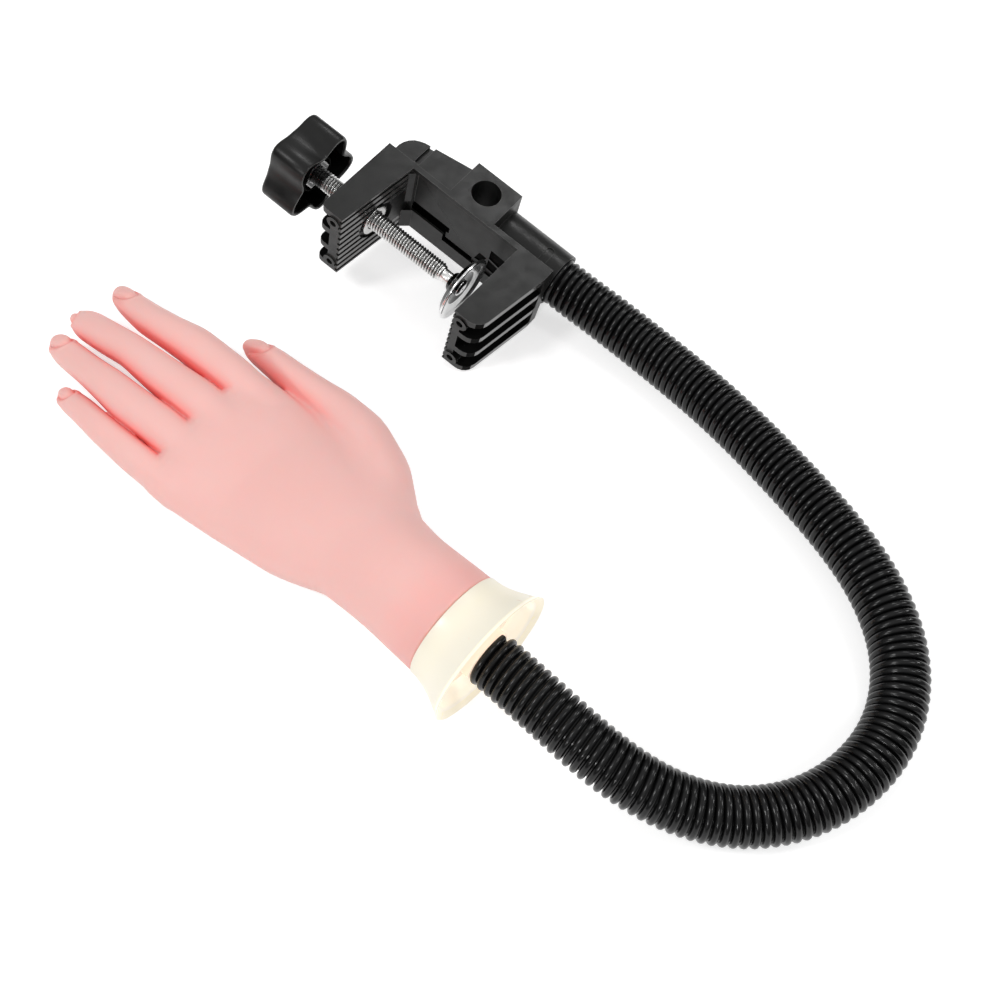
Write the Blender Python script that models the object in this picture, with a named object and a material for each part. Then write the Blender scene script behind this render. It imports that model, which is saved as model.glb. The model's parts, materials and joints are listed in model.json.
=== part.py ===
"""Nail practice hand on a bendable arm, with a table clamp at the other end.

Metres, +Z up. X runs along the clamp's spindle towards the bend of the arm, Y from the hand
towards the clamp. The clamp lies on the lower edge of the end that the arm leaves from, the
bend of the arm and the rim of the wrist collar lie on the same surface.
"""
import math

import bmesh
import bpy
from mathutils import Matrix, Vector

# General clearances and overruns
GAP = 0.0003
OVERRUN = 0.002
SINK = 0.001

# Clamp frame, in the clamp's own axes: x along the spindle, y out of the back, z across the depth
FRAME_LENGTH = 0.0815
FRAME_DEPTH = 0.036
FRAME_TILT = math.radians(12.5)
JAW_REACH = 0.040
SPINE_WALL = 0.0024
DRIVEN_JAW_ROOT = 0.0140
DRIVEN_JAW_TIP = 0.0105
FIXED_JAW_ROOT = 0.0157
FIXED_JAW_TIP = 0.0163
FIXED_JAW_DRAFT = 0.0040
DRIVEN_CORNER_RADIUS = 0.0025
FIXED_CORNER_RADIUS = 0.0060

# Fins and ridges of the jaws
FIN_THICKNESS = 0.0030
FINS_PER_JAW = 4
DRIVEN_PLATE = 0.0052
FIXED_PLATE = 0.0062
FIN_ROOT = 0.0045
RIDGE_PITCH = 0.0036
RIDGES_PER_JAW = 10
GROOVE_WIDTH = 0.0017
GROOVE_DEPTH = 0.0011
GROOVE_ROOT = 0.0030
TIP_BOSS_RADIUS = 0.0031
TIP_BOSS_PROUD = 0.0006
TIP_BOSS_LENGTH = 0.0090
TIP_BOSS_EDGE = 0.0050
TIP_HOLE_RADIUS = 0.0015
TIP_HOLE_DEPTH = 0.0050

# Spine channel, in the face that looks at the jaws
CHANNEL_DEPTH = 0.0009
TOP_RIM = 0.0021
FLANGE_HEIGHT_LOW = 0.0072
FLANGE_HEIGHT_HIGH = 0.0110
FLANGE_STEP_AT = 0.0340
SLOT_HEIGHT = 0.0052
SLOT_DEPTH = 0.0044
WINDOW_LENGTH = 0.0062
WINDOW_HEIGHT = 0.0112
WINDOW_ABOVE_MIDDLE = 0.0016
WINDOW_DEPTH = 0.0046

# Housing and block behind the spine
HOUSING_START = 0.0030
HOUSING_DEPTH = 0.0335
HOUSING_CORNER = 0.0082
HOUSING_RISE_START = 0.0090
HOUSING_RISE_END = 0.0125
LEDGE_START = 0.0098
LEDGE_WIDTH = 0.0024
LEDGE_DEPTH = 0.0012
BLOCK_START = 0.0305
BLOCK_SIZE = 0.0218
BLOCK_RISE = 0.0180
BORE_RADIUS = 0.0060
BORE_RISE = 0.0089

# Socket of the arm
SOCKET_RISE = 0.0093
SOCKET_WALL = 0.00095
SOCKET_DEPTH = 0.0220
NOTCH_BEFORE_END = 0.0061
NOTCH_WIDTH = 0.0034
NOTCH_LENGTH = 0.0085
NOTCH_OFFSET = 0.0012
NOTCH_DEPTH = 0.0030

# Spindle, its bush, knob and pad
SPINDLE_RADIUS = 0.0039
SPINDLE_RISE = -0.0205
NECK_RADIUS = 0.0026
NECK_LENGTH = 0.0042
BUSH_RADIUS = 0.0060
BUSH_FLANGE_RADIUS = 0.0068
BUSH_FLANGE = 0.0012
JAW_BOSS_RADIUS = 0.0082
JAW_RECESS_RADIUS = 0.0088
JAW_RECESS_DEPTH = 0.0014
JAW_GAP = 0.0080
PAD_RADIUS = 0.0127
PAD_THICKNESS = 0.0014
PAD_DISH = 0.0022
PAD_DISH_SHARE = 0.8
PAD_HUB_RADIUS = 0.0054
PAD_HUB_LENGTH = 0.0030
PAD_BORE = 0.0022
RIVET_RADIUS = 0.0036
RIVET_HEAD = 0.0012
RIVET_SHANK = 0.0017
RIVET_CROWN_SHARE = 0.6
KNOB_RADIUS = 0.0193
KNOB_NOTCH_RADIUS = 0.0140
KNOB_LENGTH = 0.0165
KNOB_LOBES = 5
KNOB_TURN = math.radians(55)
KNOB_WALL = 0.0018
KNOB_TOP = 0.0024
KNOB_TO_JAW = 0.0145
KNOB_HUB_RADIUS = 0.0085
KNOB_HUB_RECESS = 0.0032
KNOB_LOBE_POWER = 0.8
POINTS_PER_LOBE = 8
NUT_RADIUS = 0.0071
NUT_LENGTH = 0.0055
NUT_SIDES = 6

# Arm: a ribbed sleeve over a bendable core, stood in by rigid lengths that meet in ball and cup
ARM_LENGTH = 0.3846
ARM_LENGTHS = 10
SLEEVE_RADIUS = 0.0100
SLEEVE_ROOT_RADIUS = 0.0089
SLEEVE_BORE_RADIUS = 0.0043
RIB_PITCH = 0.0030
BALL_RADIUS = 0.0086
BALL_REACH = 0.0044
CUP_RADIUS = 0.0093
BEND_ROOM = math.radians(28)
JOINT_HALF_GAP = 0.0024
CUP_LIP = 0.0020
CORE_RADIUS = 0.0033
CORE_HALF_GAP = 0.0013
SLEEVE_IN_SOCKET = 0.0155
SIDES = 10
CORE_SIDES = 8
STATION_STEP = 0.0070
HAND_RISE_SHARE = 0.32
END_SLOPE = math.radians(4.5)
PATH_STEPS = 1600
BISECTIONS = 40
# Heading of the arm in degrees at shares of its length, from the clamp to the hand
HEADING_SHARES = (
    (0.000, 0), (0.050, 0), (0.073, -3), (0.125, -6), (0.18, -10), (0.234, -14), (0.283, -16.5),
    (0.330, -18), (0.374, -21), (0.413, -26), (0.450, -34), (0.489, -44), (0.530, -59),
    (0.573, -76), (0.621, -96), (0.671, -114), (0.716, -131), (0.757, -146), (0.796, -159),
    (0.837, -171), (0.879, -180), (0.918, -184), (1.000, -184.5))

# Ferrules at the ends of the arm
FERRULE_LENGTH = 0.0040
FERRULE_RADIUS = 0.0098
STUD_RADIUS = 0.0045
STUD_LENGTH = 0.0240

# Wrist plug and collar, in the hand's own axes: x along the arm towards the fingers
PLUG_BOSS_RADIUS = 0.0095
PLUG_BOSS_START = 0.0003
PLUG_DISC_START = 0.0060
PLUG_DISC_THICKNESS = 0.0030
PLUG_BODY_RADIUS = 0.0150
PLUG_PAST_SPIGOT = 0.0022
PLUG_ROOM = 0.0008
COLLAR_FLARE = 0.0058
COLLAR_LENGTH = 0.0178
COLLAR_WALL = 0.0018
COLLAR_SPIGOT = 0.0100
SPIGOT_WALL = 0.0018
COLLAR_SHARES = (0.0, 0.2, 0.45, 0.7, 1.0)

# Hand, from the narrow end of the collar to the tip of the middle finger
HAND_LENGTH = 0.2050
HAND_BREADTH = 0.0640
HAND_HEIGHT = 0.0280
SKIN_WALL = 0.0030
WRIST_SIDES = 18
FINGER_SIDES = 10
NAIL_DEPTH = 0.0008
# Stations are shares of the hand's length, breadth and height: along, across, up, then the
# half breadth and half height of the section. Across is positive on the little finger's side.
# At the wrist the section is in shares of the radius of the collar's neck.
WRIST_SHARES = ((0.000, 0.000, 0.000, 0.979, 0.980), (0.107, 0.008, -0.089, 1.004, 0.907))
PALM_SHARES = (
    (0.205, -0.031, -0.250, 0.375, 0.589), (0.302, -0.031, -0.429, 0.430, 0.536),
    (0.424, -0.016, -0.657, 0.469, 0.500), (0.546, 0.008, -0.714, 0.492, 0.429),
    (0.612, 0.010, -0.722, 0.484, 0.370), (0.640, 0.012, -0.730, 0.468, 0.270),
    (0.656, 0.014, -0.736, 0.440, 0.130))
FINGER_SHARES = {
    "thumb": (
        (0.215, -0.250, -0.321, 0.203, 0.429), (0.293, -0.422, -0.500, 0.195, 0.429),
        (0.376, -0.547, -0.643, 0.164, 0.393), (0.449, -0.602, -0.732, 0.141, 0.339),
        (0.507, -0.609, -0.786, 0.128, 0.304), (0.571, -0.606, -0.857, 0.122, 0.279),
        (0.634, -0.602, -0.946, 0.116, 0.243), (0.673, -0.586, -1.018, 0.091, 0.189),
        (0.699, -0.572, -1.071, 0.041, 0.086)),
    "index": (
        (0.537, -0.344, -0.679, 0.133, 0.304), (0.644, -0.359, -0.696, 0.136, 0.311),
        (0.741, -0.353, -0.750, 0.127, 0.293), (0.800, -0.339, -0.804, 0.123, 0.279),
        (0.863, -0.305, -0.929, 0.112, 0.250), (0.932, -0.297, -1.107, 0.097, 0.207),
        (0.966, -0.297, -1.214, 0.078, 0.161), (0.983, -0.297, -1.268, 0.041, 0.082)),
    "middle": (
        (0.537, -0.094, -0.643, 0.139, 0.332), (0.644, -0.094, -0.661, 0.136, 0.321),
        (0.737, -0.075, -0.732, 0.130, 0.304), (0.824, -0.078, -0.821, 0.125, 0.282),
        (0.893, -0.042, -0.982, 0.114, 0.250), (0.956, -0.031, -1.161, 0.097, 0.204),
        (0.983, -0.016, -1.239, 0.075, 0.154), (0.998, -0.009, -1.279, 0.038, 0.079)),
    "ring": (
        (0.537, 0.164, -0.661, 0.131, 0.321), (0.644, 0.172, -0.679, 0.127, 0.307),
        (0.727, 0.189, -0.750, 0.120, 0.286), (0.790, 0.181, -0.821, 0.116, 0.268),
        (0.849, 0.189, -0.946, 0.106, 0.243), (0.932, 0.195, -1.143, 0.092, 0.200),
        (0.961, 0.188, -1.214, 0.073, 0.150), (0.977, 0.180, -1.257, 0.038, 0.079)),
    "little": (
        (0.537, 0.391, -0.714, 0.112, 0.286), (0.644, 0.408, -0.732, 0.105, 0.261),
        (0.729, 0.414, -0.804, 0.097, 0.236), (0.795, 0.400, -0.946, 0.089, 0.207),
        (0.834, 0.398, -1.071, 0.080, 0.179), (0.859, 0.406, -1.154, 0.059, 0.129),
        (0.870, 0.406, -1.193, 0.031, 0.068)),
}
# Nail beds: where the bed starts between the last four stations, its half breadth as a share of
# the finger's there, and how far it runs past the fingertip
NAIL_START_SHARE = 0.70
NAIL_BREADTH_SHARE = 0.72
NAIL_OVERHANG_SHARE = 0.10

COLOURS = {
    "clamp_black": ((0.055, 0.055, 0.053), 0.45, 0.0),
    "zinc": ((0.62, 0.62, 0.60), 0.28, 1.0),
    "chrome": ((0.80, 0.80, 0.80), 0.08, 1.0),
    "arm_black": ((0.012, 0.012, 0.013), 0.22, 0.0),
    "core_steel": ((0.35, 0.35, 0.36), 0.40, 1.0),
    "peach": ((0.93, 0.66, 0.49), 0.50, 0.0),
    "cream": ((0.98, 0.92, 0.78), 0.40, 0.0),
    "skin_pink": ((0.98, 0.55, 0.50), 0.50, 0.0),
}


def clear_scene():
    """Remove every object that the file holds."""
    for item in list(bpy.data.objects):
        bpy.data.objects.remove(item, do_unlink=True)


def material(name):
    """A Principled material with the colour, roughness and metallic value of the table."""
    found = bpy.data.materials.get(name)
    if found:
        return found
    colour, roughness, metallic = COLOURS[name]
    made = bpy.data.materials.new(name)
    made.use_nodes = True
    shader = made.node_tree.nodes["Principled BSDF"]
    shader.inputs["Base Color"].default_value = (*colour, 1.0)
    shader.inputs["Roughness"].default_value = roughness
    shader.inputs["Metallic"].default_value = metallic
    made.diffuse_color = (*colour, 1.0)
    return made


def frame_empty(name, matrix, parent=None):
    """An empty whose place in its parent is the matrix."""
    empty = bpy.data.objects.new(name, None)
    bpy.context.scene.collection.objects.link(empty)
    empty.parent = parent
    empty.matrix_local = matrix
    return empty


def node(name, mesh, slot, parent, smooth=False):
    """A named object of one mesh, with its material."""
    made = bpy.data.objects.new(name, mesh)
    bpy.context.scene.collection.objects.link(made)
    made.parent = parent
    mesh.materials.append(material(slot))
    if smooth:
        mesh.shade_smooth()
        mesh.set_sharp_from_angle(angle=math.radians(35))
    return made


def tool(mesh, parent):
    """A hidden object that cuts or joins another."""
    made = bpy.data.objects.new("tool_" + mesh.name, mesh)
    bpy.context.scene.collection.objects.link(made)
    made.parent = parent
    made.hide_render = True
    made.display_type = "WIRE"
    return made


def combine(target, mesh, operation, parent):
    """Cut a mesh from the target, or join it on."""
    modifier = target.modifiers.new(operation.lower() + "_" + mesh.name, "BOOLEAN")
    modifier.operation = operation
    modifier.object = tool(mesh, parent)


def ring_mesh(name, rings, closed=False):
    """A mesh through rings of equal count: with two end caps, or closed on itself."""
    build = bmesh.new()
    rows = [[build.verts.new(point) for point in ring] for ring in rings]
    pairs = list(zip(rows, rows[1:]))
    if closed:
        pairs.append((rows[-1], rows[0]))
    else:
        build.faces.new(rows[0][::-1])
        build.faces.new(rows[-1])
    for row, after in pairs:
        for index in range(len(row)):
            ahead = (index + 1) % len(row)
            build.faces.new((row[index], row[ahead], after[ahead], after[index]))
    bmesh.ops.recalc_face_normals(build, faces=build.faces)
    mesh = bpy.data.meshes.new(name)
    build.to_mesh(mesh)
    build.free()
    return mesh


def joined_mesh(name, meshes):
    """One mesh of several that don't touch."""
    build = bmesh.new()
    for mesh in meshes:
        build.from_mesh(mesh)
    mesh = bpy.data.meshes.new(name)
    build.to_mesh(mesh)
    build.free()
    return mesh


def prism(name, outline, low, high):
    """An outline in x and y, extruded along z."""
    return ring_mesh(name, [[(x, y, z) for x, y in outline] for z in (low, high)])


def block(name, low, high):
    """A box between two corners."""
    outline = ((low[0], low[1]), (high[0], low[1]), (high[0], high[1]), (low[0], high[1]))
    return prism(name, outline, low[2], high[2])


def circle(centre, across, up, radius, sides, turn=0.0):
    """The points of a circle in the plane of two directions."""
    points = []
    for index in range(sides):
        angle = turn + math.tau * index / sides
        offset = across * math.cos(angle) + up * math.sin(angle)
        points.append(centre + offset * radius)
    return points


def turned(name, profile, centre=(0, 0, 0), axis="X", sides=24, closed=False, turn=0.0):
    """A profile of places along the axis and radii, turned round it."""
    along = {"X": Vector((1, 0, 0)), "Y": Vector((0, 1, 0)), "Z": Vector((0, 0, 1))}[axis]
    across = {"X": Vector((0, 1, 0)), "Y": Vector((0, 0, 1)), "Z": Vector((1, 0, 0))}[axis]
    up = along.cross(across)
    start = Vector(centre)
    rings = [circle(start + along * place, across, up, radius, sides, turn)
             for place, radius in profile]
    return ring_mesh(name, rings, closed)


def arc(centre, radius, start, end, steps):
    """Points of an arc, from one angle to another, in degrees."""
    points = []
    for index in range(steps + 1):
        angle = math.radians(start + (end - start) * index / steps)
        points.append((centre[0] + radius * math.cos(angle), centre[1] + radius * math.sin(angle)))
    return points


# Places that follow from the sizes above
HALF_DEPTH = FRAME_DEPTH / 2
FIXED_FACE = FRAME_LENGTH - FIXED_JAW_ROOT
FIXED_FACE_TIP = FRAME_LENGTH - FIXED_JAW_TIP
SPINDLE_SHARE = -SPINDLE_RISE / JAW_REACH
FIXED_FACE_AT_SPINDLE = FIXED_FACE + (FIXED_FACE_TIP - FIXED_FACE) * SPINDLE_SHARE
DRIVEN_FACE_AT_SPINDLE = DRIVEN_JAW_ROOT + (DRIVEN_JAW_TIP - DRIVEN_JAW_ROOT) * SPINDLE_SHARE
PAD_FACE = FIXED_FACE_AT_SPINDLE - JAW_GAP
SOCKET_BORE_RADIUS = SLEEVE_RADIUS + GAP
SOCKET_RADIUS = SOCKET_BORE_RADIUS + SOCKET_WALL
BLOCK_END = BLOCK_START + BLOCK_SIZE
BORE_PLACE = BLOCK_START + BLOCK_SIZE / 2
FIN_PITCH = (FRAME_DEPTH - FIN_THICKNESS) / (FINS_PER_JAW - 1)
BALL_MOUTH_RADIUS = (CORE_RADIUS + GAP) / math.cos(BEND_ROOM) + BALL_REACH * math.tan(BEND_ROOM)
SPIGOT_RADIUS = PLUG_BODY_RADIUS + GAP + SPIGOT_WALL
WRIST_BORE_RADIUS = SPIGOT_RADIUS + GAP
COLLAR_NECK_RADIUS = WRIST_BORE_RADIUS + SKIN_WALL
COLLAR_RIM_RADIUS = COLLAR_NECK_RADIUS + COLLAR_FLARE
SPIGOT_END = COLLAR_LENGTH + COLLAR_SPIGOT
PLUG_LENGTH = SPIGOT_END + PLUG_PAST_SPIGOT


def frame_outline():
    """The C profile of the clamp, seen along its depth."""
    left = arc((DRIVEN_CORNER_RADIUS, DRIVEN_CORNER_RADIUS - JAW_REACH), DRIVEN_CORNER_RADIUS,
               180, 270, 3)
    tip = FRAME_LENGTH - FIXED_JAW_DRAFT
    right = arc((tip - FIXED_CORNER_RADIUS, FIXED_CORNER_RADIUS - JAW_REACH),
                FIXED_CORNER_RADIUS, 270, 350, 5)
    inner = [(DRIVEN_JAW_TIP, -JAW_REACH), (DRIVEN_JAW_ROOT, -SPINE_WALL),
             (FIXED_FACE, -SPINE_WALL), (FIXED_FACE_TIP, -JAW_REACH)]
    return [(0, 0), *left, *inner, *right, (FRAME_LENGTH, -FIXED_CORNER_RADIUS),
            (FRAME_LENGTH, 0)]


def housing_outline():
    """The housing behind the spine, from its round end to the block."""
    centre = (HOUSING_START + HOUSING_CORNER, HOUSING_RISE_START - HOUSING_CORNER)
    corner = arc(centre, HOUSING_CORNER, 180, 100, 6)
    return [(HOUSING_START, -SINK), *corner, (BLOCK_START + SINK, HOUSING_RISE_END),
            (BLOCK_START + SINK, -SINK)]


def jaw_pockets(name, start, end, root, lowest):
    """The pockets between the fins of a jaw, open at its tip."""
    pockets = []
    for index in range(FINS_PER_JAW - 1):
        low = -HALF_DEPTH + FIN_THICKNESS + index * FIN_PITCH
        high = low + FIN_PITCH - FIN_THICKNESS
        pockets.append(block(name, (start, lowest, low), (end, root, high)))
    return joined_mesh(name, pockets)


def grooves(name, face_root, face_tip, inward):
    """Grooves along a jaw's gripping face, which leave its ridges."""
    cuts = []
    span = RIDGE_PITCH * (RIDGES_PER_JAW - 1)
    reach = JAW_REACH + OVERRUN
    slope = (face_tip - face_root) / (JAW_REACH - SPINE_WALL)
    root = face_root + slope * (GROOVE_ROOT - SPINE_WALL)
    tip = face_root + slope * (reach - SPINE_WALL)
    for index in range(RIDGES_PER_JAW):
        middle = -span / 2 + index * RIDGE_PITCH
        outline = [(root - inward * OVERRUN, -GROOVE_ROOT), (tip - inward * OVERRUN, -reach),
                   (tip + inward * GROOVE_DEPTH, -reach), (root + inward * GROOVE_DEPTH, -GROOVE_ROOT)]
        cuts.append(prism(name, outline, middle - GROOVE_WIDTH / 2, middle + GROOVE_WIDTH / 2))
    return joined_mesh(name, cuts)


def tip_bosses(name, radius, start, end):
    """Round bosses, or their holes, at the top and bottom of both jaws' tips."""
    rods = []
    places = (DRIVEN_JAW_TIP - TIP_BOSS_RADIUS - GROOVE_DEPTH / 2,
              FIXED_FACE_TIP + TIP_BOSS_RADIUS + GROOVE_DEPTH / 2)
    for place in places:
        for side in (-1, 1):
            centre = (place, 0, side * (HALF_DEPTH - TIP_BOSS_EDGE))
            rods.append(turned(name, ((start, radius), (end, radius)), centre, "Y", 12))
    return joined_mesh(name, rods)


def spine_cuts(name):
    """The channel in the spine, without the stepped slot and the window."""
    low = -HALF_DEPTH
    start = DRIVEN_JAW_ROOT + SPINE_WALL
    end = FIXED_FACE - SINK / 2
    outline_low = low + FLANGE_HEIGHT_LOW
    outline_high = low + FLANGE_HEIGHT_HIGH
    top = HALF_DEPTH - TOP_RIM
    floor = CHANNEL_DEPTH - SPINE_WALL
    points = [(start, outline_high), (FLANGE_STEP_AT, outline_high),
              (FLANGE_STEP_AT, outline_low), (end, outline_low), (end, top), (start, top)]
    rings = [[(x, y, z) for x, z in points] for y in (-SPINE_WALL - OVERRUN, floor)]
    return ring_mesh(name, rings)


def spine_slot(name):
    """The deep slot that runs along the lower flange, with its step."""
    low = -HALF_DEPTH
    start = DRIVEN_JAW_ROOT + SPINE_WALL
    first = low + FLANGE_HEIGHT_HIGH
    second = low + FLANGE_HEIGHT_LOW
    end = BLOCK_END
    points = [(start, first), (FLANGE_STEP_AT - SINK, first), (FLANGE_STEP_AT - SINK, second),
              (end, second), (end, second + SLOT_HEIGHT), (FLANGE_STEP_AT + SINK, second + SLOT_HEIGHT),
              (FLANGE_STEP_AT + SINK, first + SLOT_HEIGHT), (start, first + SLOT_HEIGHT)]
    floor = SLOT_DEPTH - SPINE_WALL
    rings = [[(x, y, z) for x, z in points] for y in (-SPINE_WALL - OVERRUN, floor)]
    return ring_mesh(name, rings)


def build_frame(clamp):
    """The moulded clamp frame, one piece."""
    low, high = -HALF_DEPTH, HALF_DEPTH
    frame = node("clamp_frame", prism("clamp_frame", frame_outline(), low, high),
                 "clamp_black", clamp)
    housing = prism("housing", housing_outline(), -HOUSING_DEPTH / 2, HOUSING_DEPTH / 2)
    combine(frame, housing, "UNION", clamp)
    square = block("square", (BLOCK_START, -SINK, low), (BLOCK_END, BLOCK_RISE, high))
    combine(frame, square, "UNION", clamp)
    socket = turned("socket", ((BLOCK_END - SINK, SOCKET_RADIUS), (FRAME_LENGTH, SOCKET_RADIUS)),
                    (0, SOCKET_RISE, 0), "X", 32)
    combine(frame, socket, "UNION", clamp)

    pocket_root = -FIN_ROOT
    deepest = -JAW_REACH - OVERRUN
    driven = jaw_pockets("driven_pockets", -OVERRUN, DRIVEN_JAW_TIP - DRIVEN_PLATE,
                         pocket_root, deepest)
    combine(frame, driven, "DIFFERENCE", clamp)
    fixed = jaw_pockets("fixed_pockets", FIXED_FACE_TIP + FIXED_PLATE, FRAME_LENGTH + OVERRUN,
                        pocket_root, deepest)
    combine(frame, fixed, "DIFFERENCE", clamp)
    bosses = tip_bosses("tip_bosses", TIP_BOSS_RADIUS, -JAW_REACH - TIP_BOSS_PROUD,
                        TIP_BOSS_LENGTH - JAW_REACH)
    combine(frame, bosses, "UNION", clamp)
    jaw_boss = turned("jaw_boss", ((0, JAW_BOSS_RADIUS), (DRIVEN_JAW_TIP - SINK, JAW_BOSS_RADIUS)),
                      (0, SPINDLE_RISE, 0), "X", 24)
    combine(frame, jaw_boss, "UNION", clamp)

    combine(frame, grooves("driven_grooves", DRIVEN_JAW_ROOT, DRIVEN_JAW_TIP, -1),
            "DIFFERENCE", clamp)
    combine(frame, grooves("fixed_grooves", FIXED_FACE, FIXED_FACE_TIP, 1), "DIFFERENCE", clamp)
    recess_floor = DRIVEN_FACE_AT_SPINDLE - JAW_RECESS_DEPTH
    recess = turned("jaw_recess", ((recess_floor, JAW_RECESS_RADIUS),
                                   (DRIVEN_JAW_ROOT + OVERRUN, JAW_RECESS_RADIUS)),
                    (0, SPINDLE_RISE, 0), "X", 24)
    combine(frame, recess, "DIFFERENCE", clamp)
    seat = turned("bush_seat", ((-OVERRUN, BUSH_RADIUS + GAP),
                                (DRIVEN_JAW_ROOT + OVERRUN, BUSH_RADIUS + GAP)),
                  (0, SPINDLE_RISE, 0), "X", 24)
    combine(frame, seat, "DIFFERENCE", clamp)
    combine(frame, spine_cuts("channel"), "DIFFERENCE", clamp)
    combine(frame, spine_slot("slot"), "DIFFERENCE", clamp)
    window_end = FIXED_FACE - SINK
    window = block("window", (window_end - WINDOW_LENGTH, -SPINE_WALL - OVERRUN,
                              WINDOW_ABOVE_MIDDLE - WINDOW_HEIGHT),
                   (window_end, WINDOW_DEPTH - SPINE_WALL, WINDOW_ABOVE_MIDDLE))
    combine(frame, window, "DIFFERENCE", clamp)
    combine(frame, tip_bosses("tip_holes", TIP_HOLE_RADIUS, -JAW_REACH - OVERRUN,
                              TIP_HOLE_DEPTH - JAW_REACH), "DIFFERENCE", clamp)
    ledge_top = HOUSING_DEPTH / 2
    ledge = block("ledge", (LEDGE_START, SINK, ledge_top - LEDGE_DEPTH),
                  (LEDGE_START + LEDGE_WIDTH, HOUSING_RISE_END, ledge_top + OVERRUN))
    combine(frame, ledge, "DIFFERENCE", clamp)
    bore = turned("bore", ((low - OVERRUN, BORE_RADIUS), (high + OVERRUN, BORE_RADIUS)),
                  (BORE_PLACE, BORE_RISE, 0), "Z", 28)
    combine(frame, bore, "DIFFERENCE", clamp)
    arm_bore = turned("arm_bore", ((FRAME_LENGTH - SOCKET_DEPTH, SOCKET_BORE_RADIUS),
                                   (FRAME_LENGTH + OVERRUN, SOCKET_BORE_RADIUS)),
                      (0, SOCKET_RISE, 0), "X", 32)
    combine(frame, arm_bore, "DIFFERENCE", clamp)
    notch_end = FRAME_LENGTH - NOTCH_BEFORE_END
    notch_low = SOCKET_RISE - NOTCH_OFFSET - NOTCH_LENGTH / 2
    notch_round = arc((notch_end - NOTCH_WIDTH / 2, notch_low + NOTCH_LENGTH - NOTCH_WIDTH / 2),
                      NOTCH_WIDTH / 2, 0, 180, 6)
    notch = prism("notch", [(notch_end - NOTCH_WIDTH, notch_low), (notch_end, notch_low),
                            *notch_round], SOCKET_RADIUS - NOTCH_DEPTH, SOCKET_RADIUS + OVERRUN)
    combine(frame, notch, "DIFFERENCE", clamp)
    return frame


def build_bush(clamp):
    """The threaded bush in the driven jaw, with a flange in the jaw's recess."""
    end = DRIVEN_FACE_AT_SPINDLE - JAW_RECESS_DEPTH + GAP
    bore = SPINDLE_RADIUS + GAP
    profile = ((0, bore), (0, BUSH_RADIUS), (end, BUSH_RADIUS), (end, BUSH_FLANGE_RADIUS),
               (end + BUSH_FLANGE, BUSH_FLANGE_RADIUS), (end + BUSH_FLANGE, bore))
    mesh = turned("thread_insert", profile, (0, SPINDLE_RISE, 0), "X", 24, closed=True)
    node("thread_insert", mesh, "zinc", clamp, smooth=True)


# Spindle places along the spindle, from the pad's gripping face back to the knob
PAD_BACK = -PAD_DISH - PAD_THICKNESS
RIVET_TIP = -PAD_DISH + GAP + RIVET_HEAD
HUB_BACK = PAD_BACK - PAD_HUB_LENGTH
NECK_END = HUB_BACK - GAP
THREAD_END = NECK_END - NECK_LENGTH
SPINDLE_START = -KNOB_TO_JAW - PAD_FACE
KNOB_BACK = SPINDLE_START - KNOB_LENGTH


def knob_outline(radius, notch_radius):
    """Lobes and the hollows between them, as a wave of the radius round the axis."""
    points = []
    for index in range(KNOB_LOBES * POINTS_PER_LOBE):
        share = index / POINTS_PER_LOBE
        angle = KNOB_TURN + math.tau * share / KNOB_LOBES
        wave = ((1 + math.cos(math.tau * share)) / 2) ** KNOB_LOBE_POWER
        here = notch_radius + (radius - notch_radius) * wave
        points.append((here * math.cos(angle), here * math.sin(angle)))
    return points


def build_knob(spindle):
    """The hollow knob, open towards the jaw, with its hub."""
    outer = knob_outline(KNOB_RADIUS, KNOB_NOTCH_RADIUS)
    inner = knob_outline(KNOB_RADIUS - KNOB_WALL, KNOB_NOTCH_RADIUS - KNOB_WALL)
    small = knob_outline(KNOB_RADIUS - KNOB_WALL / 2, KNOB_NOTCH_RADIUS - KNOB_WALL / 2)
    hub = knob_outline(KNOB_HUB_RADIUS, KNOB_HUB_RADIUS)
    seat = knob_outline(NUT_RADIUS + GAP, NUT_RADIUS + GAP)
    nut_floor = SPINDLE_START - KNOB_HUB_RECESS - NUT_LENGTH - GAP
    ceiling = KNOB_BACK + KNOB_TOP
    sections = ((KNOB_BACK, small), (KNOB_BACK + KNOB_WALL / 2, outer), (SPINDLE_START, outer),
                (SPINDLE_START, inner), (ceiling, inner), (ceiling, hub),
                (SPINDLE_START - KNOB_HUB_RECESS, hub), (SPINDLE_START - KNOB_HUB_RECESS, seat),
                (nut_floor, seat))
    rings = [[(place, y, z) for y, z in outline] for place, outline in sections]
    node("star_knob", ring_mesh("star_knob", rings), "clamp_black", spindle, smooth=True)
    nut_profile = ((nut_floor + GAP, SPINDLE_RADIUS + GAP), (nut_floor + GAP, NUT_RADIUS - GAP),
                   (SPINDLE_START - KNOB_HUB_RECESS, NUT_RADIUS - GAP),
                   (SPINDLE_START - KNOB_HUB_RECESS, SPINDLE_RADIUS + GAP))
    node("knob_nut", turned("knob_nut", nut_profile, sides=NUT_SIDES * 2, closed=True),
         "zinc", spindle)


def build_spindle(spindle):
    """The threaded spindle with its neck."""
    start = SPINDLE_START - KNOB_HUB_RECESS - NUT_LENGTH
    profile = ((start, SPINDLE_RADIUS - GAP), (start + GAP, SPINDLE_RADIUS),
               (THREAD_END, SPINDLE_RADIUS), (THREAD_END + SINK, NECK_RADIUS),
               (NECK_END, NECK_RADIUS))
    node("clamp_screw", turned("clamp_screw", profile, sides=20), "zinc", spindle, smooth=True)


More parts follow.
